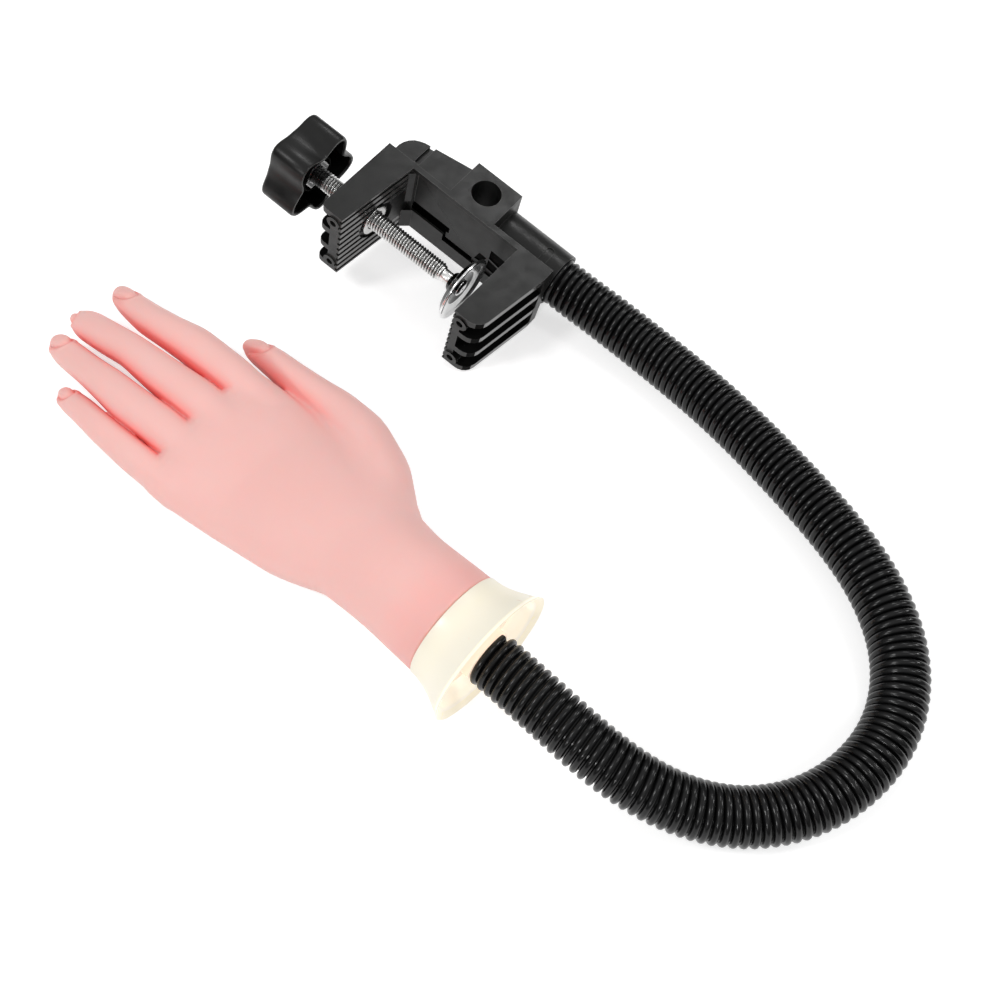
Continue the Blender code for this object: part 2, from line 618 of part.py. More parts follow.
def build_pad(carrier, pad):
    """The dished pad and the rivet that holds it on the spindle's end."""
    bore = PAD_BORE + GAP
    slope_radius = PAD_RADIUS * PAD_DISH_SHARE
    profile = ((-PAD_DISH, bore), (-PAD_DISH, RIVET_RADIUS + SINK),
               (-SINK, slope_radius), (0, PAD_RADIUS - SINK / 2),
               (-SINK / 2, PAD_RADIUS), (-PAD_THICKNESS, PAD_RADIUS),
               (PAD_BACK + SINK / 2, slope_radius), (PAD_BACK, PAD_HUB_RADIUS),
               (HUB_BACK, PAD_HUB_RADIUS), (HUB_BACK, bore))
    node("swivel_pad", turned("swivel_pad", profile, sides=32, closed=True), "chrome", pad,
         smooth=True)
    rivet = ((NECK_END + GAP, RIVET_SHANK), (RIVET_TIP - RIVET_HEAD, RIVET_SHANK),
             (RIVET_TIP - RIVET_HEAD, RIVET_RADIUS), (RIVET_TIP - RIVET_HEAD / 2, RIVET_RADIUS),
             (RIVET_TIP, RIVET_RADIUS * RIVET_CROWN_SHARE))
    node("pad_rivet", turned("pad_rivet", rivet, sides=20), "chrome", carrier, smooth=True)


def smooth_step(share):
    """A share that starts and ends level."""
    share = min(1.0, max(0.0, share))
    return share * share * (3 - 2 * share)


def arm_slope(share, peak):
    """Slope of the arm at a share of its length: down to the surface, then up to the wrist."""
    slope = -FRAME_TILT * max(0.0, 1 - share / EXIT_DROP_SHARE)
    local = (share - (1 - HAND_RISE_SHARE)) / HAND_RISE_SHARE
    if local > 0:
        bump = math.sin(math.pi * min(1.0, local)) ** 2
        slope += peak * bump + END_SLOPE * smooth_step(local * 2 - 1)
    return slope


def arm_angles(share):
    """Heading and slope of the arm at a share of its length."""
    heading = HEADING_SHARES[-1][1]
    for (low, before), (high, after) in zip(HEADING_SHARES, HEADING_SHARES[1:]):
        if low <= share <= high:
            heading = before + (after - before) * (share - low) / (high - low)
            break
    return math.radians(heading), arm_slope(share, RISE_PEAK)


def direction(heading, slope):
    """The unit vector of a heading and a slope."""
    flat = math.cos(slope)
    return Vector((math.cos(heading) * flat, math.sin(heading) * flat, math.sin(slope)))


def arm_path():
    """The arm's middle line from the socket's mouth to the wrist, in fine equal steps."""
    step = ARM_LENGTH / PATH_STEPS
    points = [Vector((0, 0, EXIT_HEIGHT))]
    for index in range(PATH_STEPS):
        heading, slope = arm_angles((index + 1 / 2) / PATH_STEPS)
        points.append(points[-1] + direction(heading, slope) * step)
    return points


def end_height(peak):
    """Height of the arm's end, for the steepest slope near the hand."""
    rises = [math.sin(arm_slope((index + 1 / 2) / PATH_STEPS, peak)) for index in range(PATH_STEPS)]
    return EXIT_HEIGHT + sum(rises) * ARM_LENGTH / PATH_STEPS


def rise_peak():
    """The steepest slope near the hand that brings the rim of the collar down to the surface."""
    target = COLLAR_RIM_RADIUS * math.cos(END_SLOPE)
    low, high = 0.0, math.pi / 4
    for _ in range(BISECTIONS):
        middle = (low + high) / 2
        if end_height(middle) < target:
            low = middle
        else:
            high = middle
    return low


# The socket's middle line stands half a depth over the edge that the clamp lies on, and the arm
# levels out where it has come down to the surface
EXIT_HEIGHT = HALF_DEPTH * math.cos(FRAME_TILT)
EXIT_DROP = (EXIT_HEIGHT - SLEEVE_RADIUS) * FRAME_TILT / (1 - math.cos(FRAME_TILT))
EXIT_DROP_SHARE = EXIT_DROP / ARM_LENGTH
RISE_PEAK = rise_peak()
PATH = arm_path()
JOINT_SPACING = ARM_LENGTH / ARM_LENGTHS


def arm_frame(place):
    """Centre, tangent, level sideways and upward directions at a length along the arm."""
    share = place / ARM_LENGTH
    heading, slope = arm_angles(min(1.0, max(0.0, share)))
    tangent = direction(heading, slope)
    exact = min(max(share, 0.0), 1.0) * PATH_STEPS
    index = min(int(exact), PATH_STEPS - 1)
    centre = PATH[index].lerp(PATH[index + 1], exact - index)
    if place < 0:
        centre = PATH[0] + tangent * place
    if place > ARM_LENGTH:
        centre = PATH[-1] + tangent * (place - ARM_LENGTH)
    sideways = Vector((0, 0, 1)).cross(tangent).normalized()
    return centre, tangent, sideways, tangent.cross(sideways)


def arm_ring(place, radius, sides, straight_from=None):
    """A ring of the arm, or of a ball or cup that keeps the direction at its centre."""
    if straight_from is None:
        centre, _, sideways, up = arm_frame(place)
    else:
        centre, tangent, sideways, up = arm_frame(straight_from)
        centre = centre + tangent * (place - straight_from)
    return circle(centre, sideways, up, radius, sides, -math.pi / 2)


def rib_stations(start, end):
    """Crest and root places between two places, a whole number of ribs of about one pitch."""
    ribs = max(1, round((end - start) / RIB_PITCH))
    pitch = (end - start) / ribs
    stations = []
    for index in range(ribs):
        stations.append((start + pitch * index, SLEEVE_RADIUS))
        stations.append((start + pitch * (index + 1 / 2), SLEEVE_ROOT_RADIUS))
    stations.append((end, SLEEVE_RADIUS))
    return stations


def build_sleeve(index, parent, whole):
    """One length of the ribbed sleeve: a cup at its start, a ball at its end, and its bore.

    The ball's bore widens to its mouth, so that the next length's core can swing in it.
    """
    first = index == 0
    last = index == ARM_LENGTHS - 1
    start = -SLEEVE_IN_SOCKET if first else JOINT_SPACING * index
    end = JOINT_SPACING * (index + 1)
    rings = []
    outer_start = start if first else start + JOINT_HALF_GAP + CUP_LIP
    outer_end = end if last else end - JOINT_HALF_GAP
    if not first:
        rings.append(arm_ring(start + JOINT_HALF_GAP, SLEEVE_RADIUS, SIDES))
    for place, radius in rib_stations(outer_start, outer_end):
        rings.append(arm_ring(place, radius, SIDES))
    if not last:
        rings.append(arm_ring(end - JOINT_HALF_GAP + GAP, BALL_RADIUS, SIDES))
        mouth = math.acos(BALL_REACH / BALL_RADIUS)
        for angle in (math.pi / 2, (math.pi / 2 + mouth) / 2, mouth):
            place = end + BALL_RADIUS * math.cos(angle)
            rings.append(arm_ring(place, BALL_RADIUS * math.sin(angle), SIDES, end))
        rings.append(arm_ring(end + BALL_REACH, BALL_MOUTH_RADIUS, SIDES, end))
    bore_start = start if first else start + CUP_RADIUS
    steps = math.ceil((end - bore_start) / STATION_STEP)
    for step in range(steps + 1):
        place = end + (bore_start - end) * step / steps
        if step == steps and not first:
            break
        rings.append(arm_ring(place, SLEEVE_BORE_RADIUS, SIDES))
    if not first:
        mouth = math.asin(SLEEVE_BORE_RADIUS / CUP_RADIUS)
        lip = math.acos(JOINT_HALF_GAP / CUP_RADIUS)
        for angle in (mouth, (mouth * 2 + lip) / 3, (mouth + lip * 2) / 3, lip):
            place = start + CUP_RADIUS * math.cos(angle)
            rings.append(arm_ring(place, CUP_RADIUS * math.sin(angle), SIDES, start))
    name = f"hose_{index + 1:02d}"
    made = node(name, ring_mesh(name, rings, closed=True), "arm_black", parent)
    made.matrix_parent_inverse = whole


def build_core(index, parent, whole):
    """One length of the bendable core inside the sleeve."""
    start = JOINT_SPACING * index + CORE_HALF_GAP
    end = JOINT_SPACING * (index + 1) - CORE_HALF_GAP
    if index == 0:
        start = GAP - SLEEVE_IN_SOCKET
    if index == ARM_LENGTHS - 1:
        end = ARM_LENGTH - GAP
    steps = math.ceil((end - start) / STATION_STEP)
    rings = [arm_ring(start + (end - start) * step / steps, CORE_RADIUS, CORE_SIDES)
             for step in range(steps + 1)]
    name = f"core_{index + 1:02d}"
    made = node(name, ring_mesh(name, rings), "core_steel", parent)
    made.matrix_parent_inverse = whole


def local_turned(name, profile, slot, parent, sides=24, closed=False):
    """A turned piece on the x axis of its parent."""
    node(name, turned(name, profile, sides=sides, closed=closed), slot, parent, smooth=True)


def build_clamp_ferrule(clamp):
    """The ferrule behind the sleeve, at the bottom of the socket."""
    floor = FRAME_LENGTH - SOCKET_DEPTH
    profile = ((floor + GAP, FERRULE_RADIUS), (floor + FERRULE_LENGTH, FERRULE_RADIUS))
    mesh = turned("hose_ferrule_clamp", profile, (0, SOCKET_RISE, 0), "X", 24)
    node("hose_ferrule_clamp", mesh, "core_steel", clamp, smooth=True)


def build_wrist(hand, arm_end):
    """The arm's end stud, the plug round it and the flared collar."""
    stud = ((GAP, STUD_RADIUS), (STUD_LENGTH, STUD_RADIUS))
    local_turned("hose_ferrule_hand", stud, "core_steel", arm_end, 16)

    bore = STUD_RADIUS + GAP
    disc_radius = COLLAR_NECK_RADIUS - COLLAR_WALL - GAP
    disc_end = PLUG_DISC_START + PLUG_DISC_THICKNESS
    plug = ((PLUG_BOSS_START, bore), (PLUG_BOSS_START, PLUG_BOSS_RADIUS),
            (PLUG_DISC_START, PLUG_BOSS_RADIUS), (PLUG_DISC_START, disc_radius),
            (disc_end, disc_radius), (disc_end, PLUG_BODY_RADIUS),
            (PLUG_LENGTH, PLUG_BODY_RADIUS), (PLUG_LENGTH, bore))
    local_turned("wrist_plug", plug, "peach", hand, 28, closed=True)

    outer = []
    for share in COLLAR_SHARES:
        narrowing = COLLAR_FLARE * math.sin(share * math.pi / 2)
        outer.append((COLLAR_LENGTH * share, COLLAR_RIM_RADIUS - narrowing))
    inner_wall = [(place, radius - COLLAR_WALL) for place, radius in outer]
    spigot_inner = PLUG_BODY_RADIUS + GAP
    throat = disc_end + GAP
    inner = [(0, COLLAR_RIM_RADIUS - COLLAR_WALL)]
    inner += [(place, radius) for place, radius in inner_wall[1:] if place < throat]
    inner.append((throat, COLLAR_NECK_RADIUS - COLLAR_WALL))
    profile = [*outer, (COLLAR_LENGTH, SPIGOT_RADIUS), (SPIGOT_END, SPIGOT_RADIUS),
               (SPIGOT_END, spigot_inner), (throat, spigot_inner), *inner[::-1]]
    local_turned("wrist_collar", profile, "cream", hand, 32, closed=True)


def section(station, sides, breadth_unit=HAND_BREADTH, height_unit=HAND_HEIGHT):
    """An oval section across the hand from one row of shares."""
    along, across, up, breadth, height = station
    centre = Vector((COLLAR_LENGTH + GAP + along * HAND_LENGTH, across * HAND_BREADTH,
                     up * HAND_HEIGHT))
    half_breadth = breadth * breadth_unit
    half_height = height * height_unit
    points = []
    for index in range(sides):
        angle = math.tau * index / sides
        points.append(centre + Vector((0, half_breadth * math.cos(angle),
                                       half_height * math.sin(angle))))
    return points


def loft_section(before, here, after, sides):
    """A finger's section, square to the way the finger runs there."""
    scale = Vector((HAND_LENGTH, HAND_BREADTH, HAND_HEIGHT))
    ahead = Vector([(b - a) * s for a, b, s in zip(before[:3], after[:3], scale)])
    along = ahead.normalized()
    side = Vector((0, 0, 1)).cross(along).normalized()
    up = along.cross(side)
    centre = Vector([a * s for a, s in zip(here[:3], scale)])
    centre.x += COLLAR_LENGTH + GAP
    points = []
    for index in range(sides):
        angle = math.tau * index / sides
        points.append(centre + side * (here[3] * HAND_BREADTH * math.cos(angle))
                      + up * (here[4] * HAND_HEIGHT * math.sin(angle)))
    return points


def finger_mesh(name, stations):
    """A finger through its stations."""
    rings = []
    for index, here in enumerate(stations):
        before = stations[max(0, index - 1)]
        after = stations[min(len(stations) - 1, index + 1)]
        rings.append(loft_section(before, here, after, FINGER_SIDES))
    return ring_mesh(name, rings)


def nail_cutter(name, stations):
    """A flat slab that takes the top off the fingertip, where the nail bed lies."""
    scale = Vector((HAND_LENGTH, HAND_BREADTH, HAND_HEIGHT))
    tip = stations[-1]
    base = stations[-4]
    points = [Vector([a * s for a, s in zip(row[:3], scale)]) for row in (base, tip)]
    start, end = points
    ahead = end - start
    along = ahead.normalized()
    side = Vector((0, 0, 1)).cross(along).normalized()
    up = along.cross(side)
    half = stations[-3][3] * HAND_BREADTH * NAIL_BREADTH_SHARE
    top = stations[-3][4] * HAND_HEIGHT
    centre = start + ahead * NAIL_START_SHARE + up * (top + half - NAIL_DEPTH * 2)
    centre.x += COLLAR_LENGTH + GAP
    reach = ahead.length * (1 - NAIL_START_SHARE + NAIL_OVERHANG_SHARE)
    rings = [circle(centre + along * place, side, up, half, 12) for place in (0, reach + half)]
    return ring_mesh(name, rings)


def build_hand(hand):
    """The hollow soft hand: palm and five fingers in one skin, open at the wrist."""
    rings = [section(row, WRIST_SIDES, COLLAR_NECK_RADIUS, COLLAR_NECK_RADIUS)
             for row in WRIST_SHARES]
    rings += [section(row, WRIST_SIDES) for row in PALM_SHARES]
    skin = node("hand_skin", ring_mesh("hand_skin", rings), "skin_pink", hand, smooth=True)
    for name, stations in FINGER_SHARES.items():
        combine(skin, finger_mesh("finger_" + name, stations), "UNION", hand)
    for name, stations in FINGER_SHARES.items():
        combine(skin, nail_cutter("nail_" + name, stations), "DIFFERENCE", hand)
    rings = [circle(Vector((place, 0, 0)), Vector((0, 1, 0)), Vector((0, 0, 1)),
                    WRIST_BORE_RADIUS, WRIST_SIDES)
             for place in (COLLAR_LENGTH - OVERRUN, PLUG_LENGTH + PLUG_ROOM)]
    for along, across, up, breadth, height in PALM_SHARES[:4]:
        thin = (along, across, up, breadth - SKIN_WALL / HAND_BREADTH,
                height - SKIN_WALL / HAND_HEIGHT)
        rings.append(section(thin, WRIST_SIDES))
    combine(skin, ring_mesh("cavity", rings), "DIFFERENCE", hand)


def main():
    clear_scene()
    whole = frame_empty("whole", Matrix.Identity(4))
    tilt = Matrix.Rotation(FRAME_TILT, 4, "Y")
    exit_place = Matrix.Translation((0, 0, EXIT_HEIGHT))
    back = Matrix.Translation((-FRAME_LENGTH, -SOCKET_RISE, 0))
    clamp = frame_empty("clamp_axes", exit_place @ tilt @ back, whole)
    build_frame(clamp)
    build_bush(clamp)
    build_clamp_ferrule(clamp)

    carrier = frame_empty("carrier_axes", Matrix.Translation((PAD_FACE, SPINDLE_RISE, 0)), clamp)
    spindle = frame_empty("spindle_axes", Matrix.Identity(4), carrier)
    pad = frame_empty("pad_axes", Matrix.Identity(4), carrier)
    build_spindle(spindle)
    build_knob(spindle)
    build_pad(carrier, pad)

    parent = whole
    to_parent = Matrix.Identity(4)
    for index in range(ARM_LENGTHS):
        if index:
            centre = arm_frame(JOINT_SPACING * index)[0]
            parent = frame_empty(f"arm_axes_{index}", to_parent @ Matrix.Translation(centre), parent)
            to_parent = Matrix.Translation(-centre)
        build_sleeve(index, parent, to_parent)
        build_core(index, parent, to_parent)

    centre, tangent, sideways, up = arm_frame(ARM_LENGTH)
    turn = Matrix((tangent, sideways, up)).transposed().to_4x4()
    wrist = Matrix.Translation(centre) @ turn
    arm_end = frame_empty("arm_end_axes", to_parent @ wrist, parent)
    hand = frame_empty("hand_axes", Matrix.Identity(4), arm_end)
    build_wrist(hand, arm_end)
    build_hand(hand)
    seat_on_surface(whole)


def seat_on_surface(whole):
    """Move the whole part so that the origin is at the middle of the bottom of its box."""
    bpy.context.view_layer.update()
    graph = bpy.context.evaluated_depsgraph_get()
    low = Vector((math.inf, math.inf, math.inf))
    high = -low
    for item in bpy.data.objects:
        if item.type != "MESH" or item.hide_render:
            continue
        evaluated = item.evaluated_get(graph)
        for vertex in evaluated.data.vertices:
            place = evaluated.matrix_world @ vertex.co
            low = Vector(map(min, low, place))
            high = Vector(map(max, high, place))
    middle = (low + high) / 2
    whole.location = (-middle.x, -middle.y, -low.z)
    bpy.context.view_layer.update()
    print("box", [round(value * 1000, 2) for value in high - low])
    for item in bpy.data.objects:
        if item.type == "EMPTY":
            place = item.matrix_world.translation
            axis = item.matrix_world.to_3x3() @ Vector((1, 0, 0))
            print("axes", item.name, [round(value, 6) for value in place],
                  [round(value, 6) for value in axis])


main()
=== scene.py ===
"""Looks of the nail practice hand, its bendable arm and its table clamp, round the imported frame.

Metres, in the row frame. Sizes repeat those of the part's source where a piece stands for a node.
"""
import itertools
import json
import math

import bmesh
import bpy
import numpy as np
from mathutils import Matrix, Vector


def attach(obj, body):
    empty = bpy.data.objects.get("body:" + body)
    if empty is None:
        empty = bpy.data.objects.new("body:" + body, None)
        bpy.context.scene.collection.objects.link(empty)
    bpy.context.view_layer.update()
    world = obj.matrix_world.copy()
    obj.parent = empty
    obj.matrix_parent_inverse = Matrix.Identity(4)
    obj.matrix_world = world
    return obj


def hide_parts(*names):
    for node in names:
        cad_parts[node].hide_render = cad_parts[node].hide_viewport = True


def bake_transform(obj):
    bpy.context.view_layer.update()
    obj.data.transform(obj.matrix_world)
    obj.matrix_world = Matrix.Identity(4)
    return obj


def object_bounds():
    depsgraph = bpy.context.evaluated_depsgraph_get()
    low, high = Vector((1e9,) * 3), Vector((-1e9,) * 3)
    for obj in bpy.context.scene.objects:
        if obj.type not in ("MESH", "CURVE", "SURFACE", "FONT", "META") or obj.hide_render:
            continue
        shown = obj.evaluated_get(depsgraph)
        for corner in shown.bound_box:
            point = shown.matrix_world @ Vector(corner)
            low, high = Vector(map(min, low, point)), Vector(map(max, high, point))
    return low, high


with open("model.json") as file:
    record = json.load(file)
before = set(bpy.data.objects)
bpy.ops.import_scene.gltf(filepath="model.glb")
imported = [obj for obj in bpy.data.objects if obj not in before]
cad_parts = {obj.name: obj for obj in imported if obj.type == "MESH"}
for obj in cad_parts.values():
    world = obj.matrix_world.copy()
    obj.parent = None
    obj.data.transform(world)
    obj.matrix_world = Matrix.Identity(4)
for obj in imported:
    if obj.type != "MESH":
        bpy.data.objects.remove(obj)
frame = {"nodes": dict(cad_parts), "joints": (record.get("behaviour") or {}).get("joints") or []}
cad_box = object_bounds()
joints = {joint["name"]: joint for joint in frame["joints"]}

# Camera: degrees round the object and above the surface, then metres
CAMERA_AZIMUTH = 37.78
CAMERA_ELEVATION = 59.85
CAMERA_DISTANCE = 0.4668
CAMERA_TARGET = (0.0078, -0.0087, 0.0100)
CAMERA_LENS = 46.69
CAMERA_SENSOR = 36.0

# General
GAP = 0.0003
MM = 0.001
WELD = MM / 200
FLAT_ANGLE = math.radians(0.6)
LATHE_SIDES = 96

# Clamp, in its own axes: x along the spindle, y out of the back, z across the depth
FRAME_LENGTH = 0.0815
FRAME_TILT = math.radians(12.5)
FIXED_FACE_AT_SPINDLE = 0.0654925
JAW_GAP = 0.0080
PAD_FACE = FIXED_FACE_AT_SPINDLE - JAW_GAP
SOCKET_RISE = 0.0093
SPINDLE_RISE = -0.0205
FRAME_EDGE = 0.00032
JAW_REACH = 0.040
SPINE_WALL = 0.0024
DRIVEN_JAW_ROOT = 0.0140
DRIVEN_JAW_TIP = 0.0105
DRIVEN_PLATE = 0.0052
FIXED_FACE = 0.0658
FIXED_FACE_TIP = 0.0652
FIXED_PLATE = 0.0062
FIN_ROOT = 0.0045
# Pockets between the fixed jaw's fins, and the bosses and holes at its tip
FIN_THICKNESS = 0.0030
FIN_PITCH = 0.0110
FIN_GAPS = 3
FIN_FLOOR = 0.0692
TIP_BOSS_PLACE = 0.06885
TIP_BOSS_RADIUS = 0.00315
TIP_BOSS_HEIGHT = 0.0130
TIP_BOSS_SPAN = (-0.04062, -0.0310)
TIP_HOLE_RADIUS = 0.00155
TIP_HOLE_END = -0.0350
JAW_RECESS_RADIUS = 0.0088
JAW_RECESS_FLOOR = 0.0109
CHANNEL_FLOOR = -0.0015
CHANNEL_RIM = 0.0021
FRAME_HALF = 0.018
HOUSING_TOP = 0.01675
# Outline of the housing behind the spine, along and out of it
HOUSING = (
    (0.0025, -0.0010), (0.0025, 0.0030), (0.0030, 0.0052), (0.0040, 0.0072), (0.0054, 0.0088),
    (0.0072, 0.0099), (0.0092, 0.0107), (0.0112, 0.0111), (0.0200, 0.0127), (0.0312, 0.0147),
    (0.0312, -0.0010))
HOUSING_GROOVE = ((0.0116, 0.0012), (0.0140, 0.0200))
GROOVE_DROP = 0.0017
PLAIN_WALL_END = -0.0132
PLAIN_WALL_TOP = 0.0135
PLAIN_WALL_DEPTH = 0.0014
PROUD = 0.00003
# Dark slots of the spine: along it and up, from and to. OLD_SLOT and OLD_WINDOW are places of the
# solid that are filled first
SLOTS = (((0.0140, 0.0338), (-0.0070, -0.0021)), ((0.0338, 0.0478), (-0.0122, -0.0086)))
OLD_SLOT = ((0.0338, 0.0530), (-0.0123, -0.0052))
SLOT_FLOOR = 0.0029
SLOT_WELL = 0.0036
# Corners of its windows, along and up
WINDOWS = (((0.0504, -0.0021), (0.0541, -0.0024), (0.0522, -0.0071), (0.0487, -0.0077)),
           ((0.0550, 0.0044), (0.0628, 0.0040), (0.0606, -0.0026), (0.0550, -0.0014)),
           ((0.0550, -0.0024), (0.0604, -0.0036), (0.0592, -0.0085), (0.0549, -0.0081)))
WINDOW_FLOOR = -0.00105
WINDOW_BACKING = -0.00075
CORNER = ((0.0138, -0.0056), (0.0172, -0.0022), (0.0138, -0.0022))
CORNER_STEP = 0.0009
OLD_WINDOW = ((0.0575, 0.0659), (-0.0098, 0.0018))
SOCKET_LINING = (0.01045, 0.01078)
SOCKET_SIDES = 64
RECESS_SIDES = 64

# Spindle, from the pad's gripping face back to the knob
THREAD_RADIUS = 0.0039
THREAD_DEPTH = 0.00062
THREAD_PITCH = 0.00125
THREAD_STEEPNESS = 1.3
THREAD_ROOT_FLAT = 0.12
# How sharply the painted shade gathers in the thread's grooves
THREAD_SHADE_POWER = 1.3
THREAD_SIDES = 48
THREAD_STEPS = 10
NECK_RADIUS = 0.0026
NECK_LENGTH = 0.0042
PAD_RADIUS = 0.0140
PAD_THICKNESS = 0.0014
PAD_DISH = 0.0022
PAD_DISH_SHARE = 0.8
PAD_RING_SHARES = (0.45, 0.50)
PAD_HUB_RADIUS = 0.0054
PAD_HUB_LENGTH = 0.0030
PAD_BORE = 0.0025
RIVET_RADIUS = 0.0036
RIVET_HEAD = 0.0012
RIVET_SHANK = 0.0017
KNOB_TO_JAW = 0.0145
KNOB_LENGTH = 0.0165
KNOB_RADIUS = 0.0193
KNOB_NOTCH_RADIUS = 0.0138
KNOB_REAR_NOTCH_RADIUS = 0.0158
KNOB_LOBES = 5
KNOB_TURN = math.radians(55)
KNOB_LOBE_POWER = 0.95
KNOB_REAR_POWER = 1.7
KNOB_POINTS_PER_LOBE = 28
KNOB_WALL = 0.0018
KNOB_TOP = 0.0024
KNOB_EDGE = 0.0008
KNOB_CENTRE_RADIUS = 0.0015
KNOB_HUB_RADIUS = 0.0081
KNOB_HUB_RECESS = 0.0032
NUT_RADIUS = 0.0071
# How far out of the knob the thread is painted in shade
KNOB_SHADE = 0.0016
NUT_LENGTH = 0.0055
BUSH_RADIUS = 0.0060
BUSH_FLANGE_RADIUS = 0.0068
BUSH_FLANGE = 0.0012
BUSH_SEAT = 0.0110070
PAD_BACK = -PAD_DISH - PAD_THICKNESS
HUB_BACK = PAD_BACK - PAD_HUB_LENGTH
NECK_END = HUB_BACK - GAP
THREAD_END = NECK_END - NECK_LENGTH
SPINDLE_START = -KNOB_TO_JAW - PAD_FACE
KNOB_BACK = SPINDLE_START - KNOB_LENGTH
SCREW_BACK = SPINDLE_START - KNOB_HUB_RECESS - NUT_LENGTH

# Arm: the route of its middle line, as shares of its length
ARM_LENGTH = 0.3846
ARM_LENGTHS = 10
ARM_SPACING = ARM_LENGTH / ARM_LENGTHS
ARM_IN_SOCKET = 0.0155
ARM_RADIUS = 0.0100
RIB_PITCH = 0.0030
RIB_HALF_WIDTH = 0.00138
RIB_HALF_HEIGHT = 0.00150
RIB_STEPS = 40
RIB_SIDES = 12
TUBE_RADIUS = 0.0079
TUBE_SIDES = 32
TUBE_STEP = 0.0030
HAND_RISE_SHARE = 0.32
END_SLOPE = math.radians(4.5)
PATH_STEPS = 1600
BISECTIONS = 40
# Heading of the arm in degrees at shares of its length, from the clamp to the hand
HEADING_SHARES = (
    (0.000, 0), (0.050, 0), (0.073, -3), (0.125, -6), (0.18, -10), (0.234, -14), (0.283, -16.5),
    (0.330, -18), (0.374, -21), (0.413, -26), (0.450, -34), (0.489, -44), (0.530, -59),
    (0.573, -76), (0.621, -96), (0.671, -114), (0.716, -131), (0.757, -146), (0.796, -159),
    (0.837, -171), (0.879, -180), (0.918, -184), (1.000, -184.5))

# Wrist plug and collar, in the hand's own axes: x along the arm towards the fingers
STUD_RADIUS = 0.0045
PLUG_BOSS_RADIUS = 0.0095
PLUG_BOSS_START = 0.0003
PLUG_DISC_START = 0.0060
PLUG_DISC_END = 0.0090
PLUG_BODY_RADIUS = 0.0150
PLUG_LENGTH = 0.0272
PLUG_EDGE = 0.0009
COLLAR_RIM_RADIUS = 0.0262
COLLAR_NECK_RADIUS = 0.0204
COLLAR_START = -0.0009
COLLAR_END = 0.0162
COLLAR_WALL = 0.0018
COLLAR_EDGE = 0.0006
COLLAR_STEPS = 16
LIP_DEPTH = 0.0016
LIP_RADIUS = 0.0231
LIP_STEP = 0.0006
SPIGOT_WALL = 0.0018
SPIGOT_RADIUS = PLUG_BODY_RADIUS + GAP + SPIGOT_WALL
SPIGOT_END = 0.0212
HAND_START = COLLAR_END + GAP

# Hand, from the narrow end of the collar to the tip of the middle finger
HAND_LENGTH = 0.2050
HAND_BREADTH = 0.0640
HAND_HEIGHT = 0.0280
HAND_GRID = 0.00075
COARSE_STEPS = 3
NEAR_STEPS = 5
SETTLE_STEPS = 2
# Stations are thousandths of the hand's length, breadth and height: along, across, up, then the
# half breadth and half height of the section. Across is positive on the little finger's side.
PALM_STATIONS = (
    (0, 0, 0, 313, 715), (115, -6, -89, 303, 640), (213, -32, -250, 336, 546),
    (309, -18, -429, 422, 529), (432, -15, -657, 461, 494), (554, 11, -714, 488, 427),
    (598, 16, -722, 480, 350), (618, 22, -730, 458, 250), (630, 26, -736, 425, 120))
FINGER_STATIONS = {
    "thumb": (
        (225, -239, -321, 186, 404), (302, -424, -500, 191, 423), (383, -555, -643, 165, 394),
        (456, -602, -732, 131, 323), (514, -604, -786, 109, 272), (578, -602, -857, 99, 241),
        (641, -612, -946, 90, 204), (682, -606, -1018, 72, 161), (709, -604, -1071, 33, 71)),
    "index": (
        (545, -324, -679, 126, 293), (652, -335, -696, 127, 296), (749, -332, -750, 124, 288),
        (807, -308, -804, 108, 254), (871, -298, -929, 101, 234), (940, -317, -1107, 86, 190),
        (975, -334, -1214, 70, 149), (993, -339, -1268, 37, 76)),
    "middle": (
        (544, -78, -643, 139, 332), (651, -75, -661, 136, 321), (744, -62, -732, 121, 290),
        (830, -60, -821, 104, 260), (899, -46, -982, 103, 250), (963, -44, -1161, 100, 209),
        (990, -39, -1239, 73, 150), (1005, -34, -1279, 35, 75)),
    "ring": (
        (545, 173, -661, 131, 321), (652, 182, -679, 127, 307), (735, 196, -750, 123, 291),
        (798, 190, -821, 110, 272), (857, 185, -946, 96, 234), (940, 175, -1143, 91, 196),
        (969, 166, -1214, 80, 163), (986, 161, -1257, 44, 90)),
    "little": (
        (545, 386, -714, 101, 263), (652, 408, -732, 95, 245), (737, 408, -804, 86, 215),
        (803, 391, -946, 80, 193), (842, 384, -1071, 75, 172), (868, 379, -1154, 64, 139),
        (878, 375, -1193, 37, 77)),
}
TIP_OVERRUN = 0.0009
LIMB_FINE = 240
LIMB_STATIONS = 44
LIMB_SMOOTHING = 25
LIMB_MARGIN = 0.012
FINGER_BLEND = 0.0003
ROOT_BLEND = 0.0020
THUMB_BLEND = 0.0042
# Nail beds: where the cuticle lies back from the fingertip, the bed's length past it towards the
# tip, its half breadth, and how far it is turned about the finger towards the thumb's side
NAILS = {
    "thumb": (0.0163, 0.0172, 0.0045, 12), "index": (0.0172, 0.0176, 0.0042, 12),
    "middle": (0.0064, 0.0070, 0.0031, -24), "ring": (0.0128, 0.0132, 0.0046, 12),
    "little": (0.0120, 0.0122, 0.0037, 3)}
NAIL_DEPTH = 0.00030
NAIL_GROOVE = 0.00042
NAIL_STEP = 0.00045
NAIL_LIP = 0.00024
NAIL_CROWN = 0.0008
NAIL_CROWN_REACH = 0.0022
NAIL_REACH = 0.0085
NAIL_SURROUND = 0.0012
# How far from the collar the skin is painted in shade
WRIST_SHADE_REACH = 0.0200
NAIL_SQUARENESS = 2.3


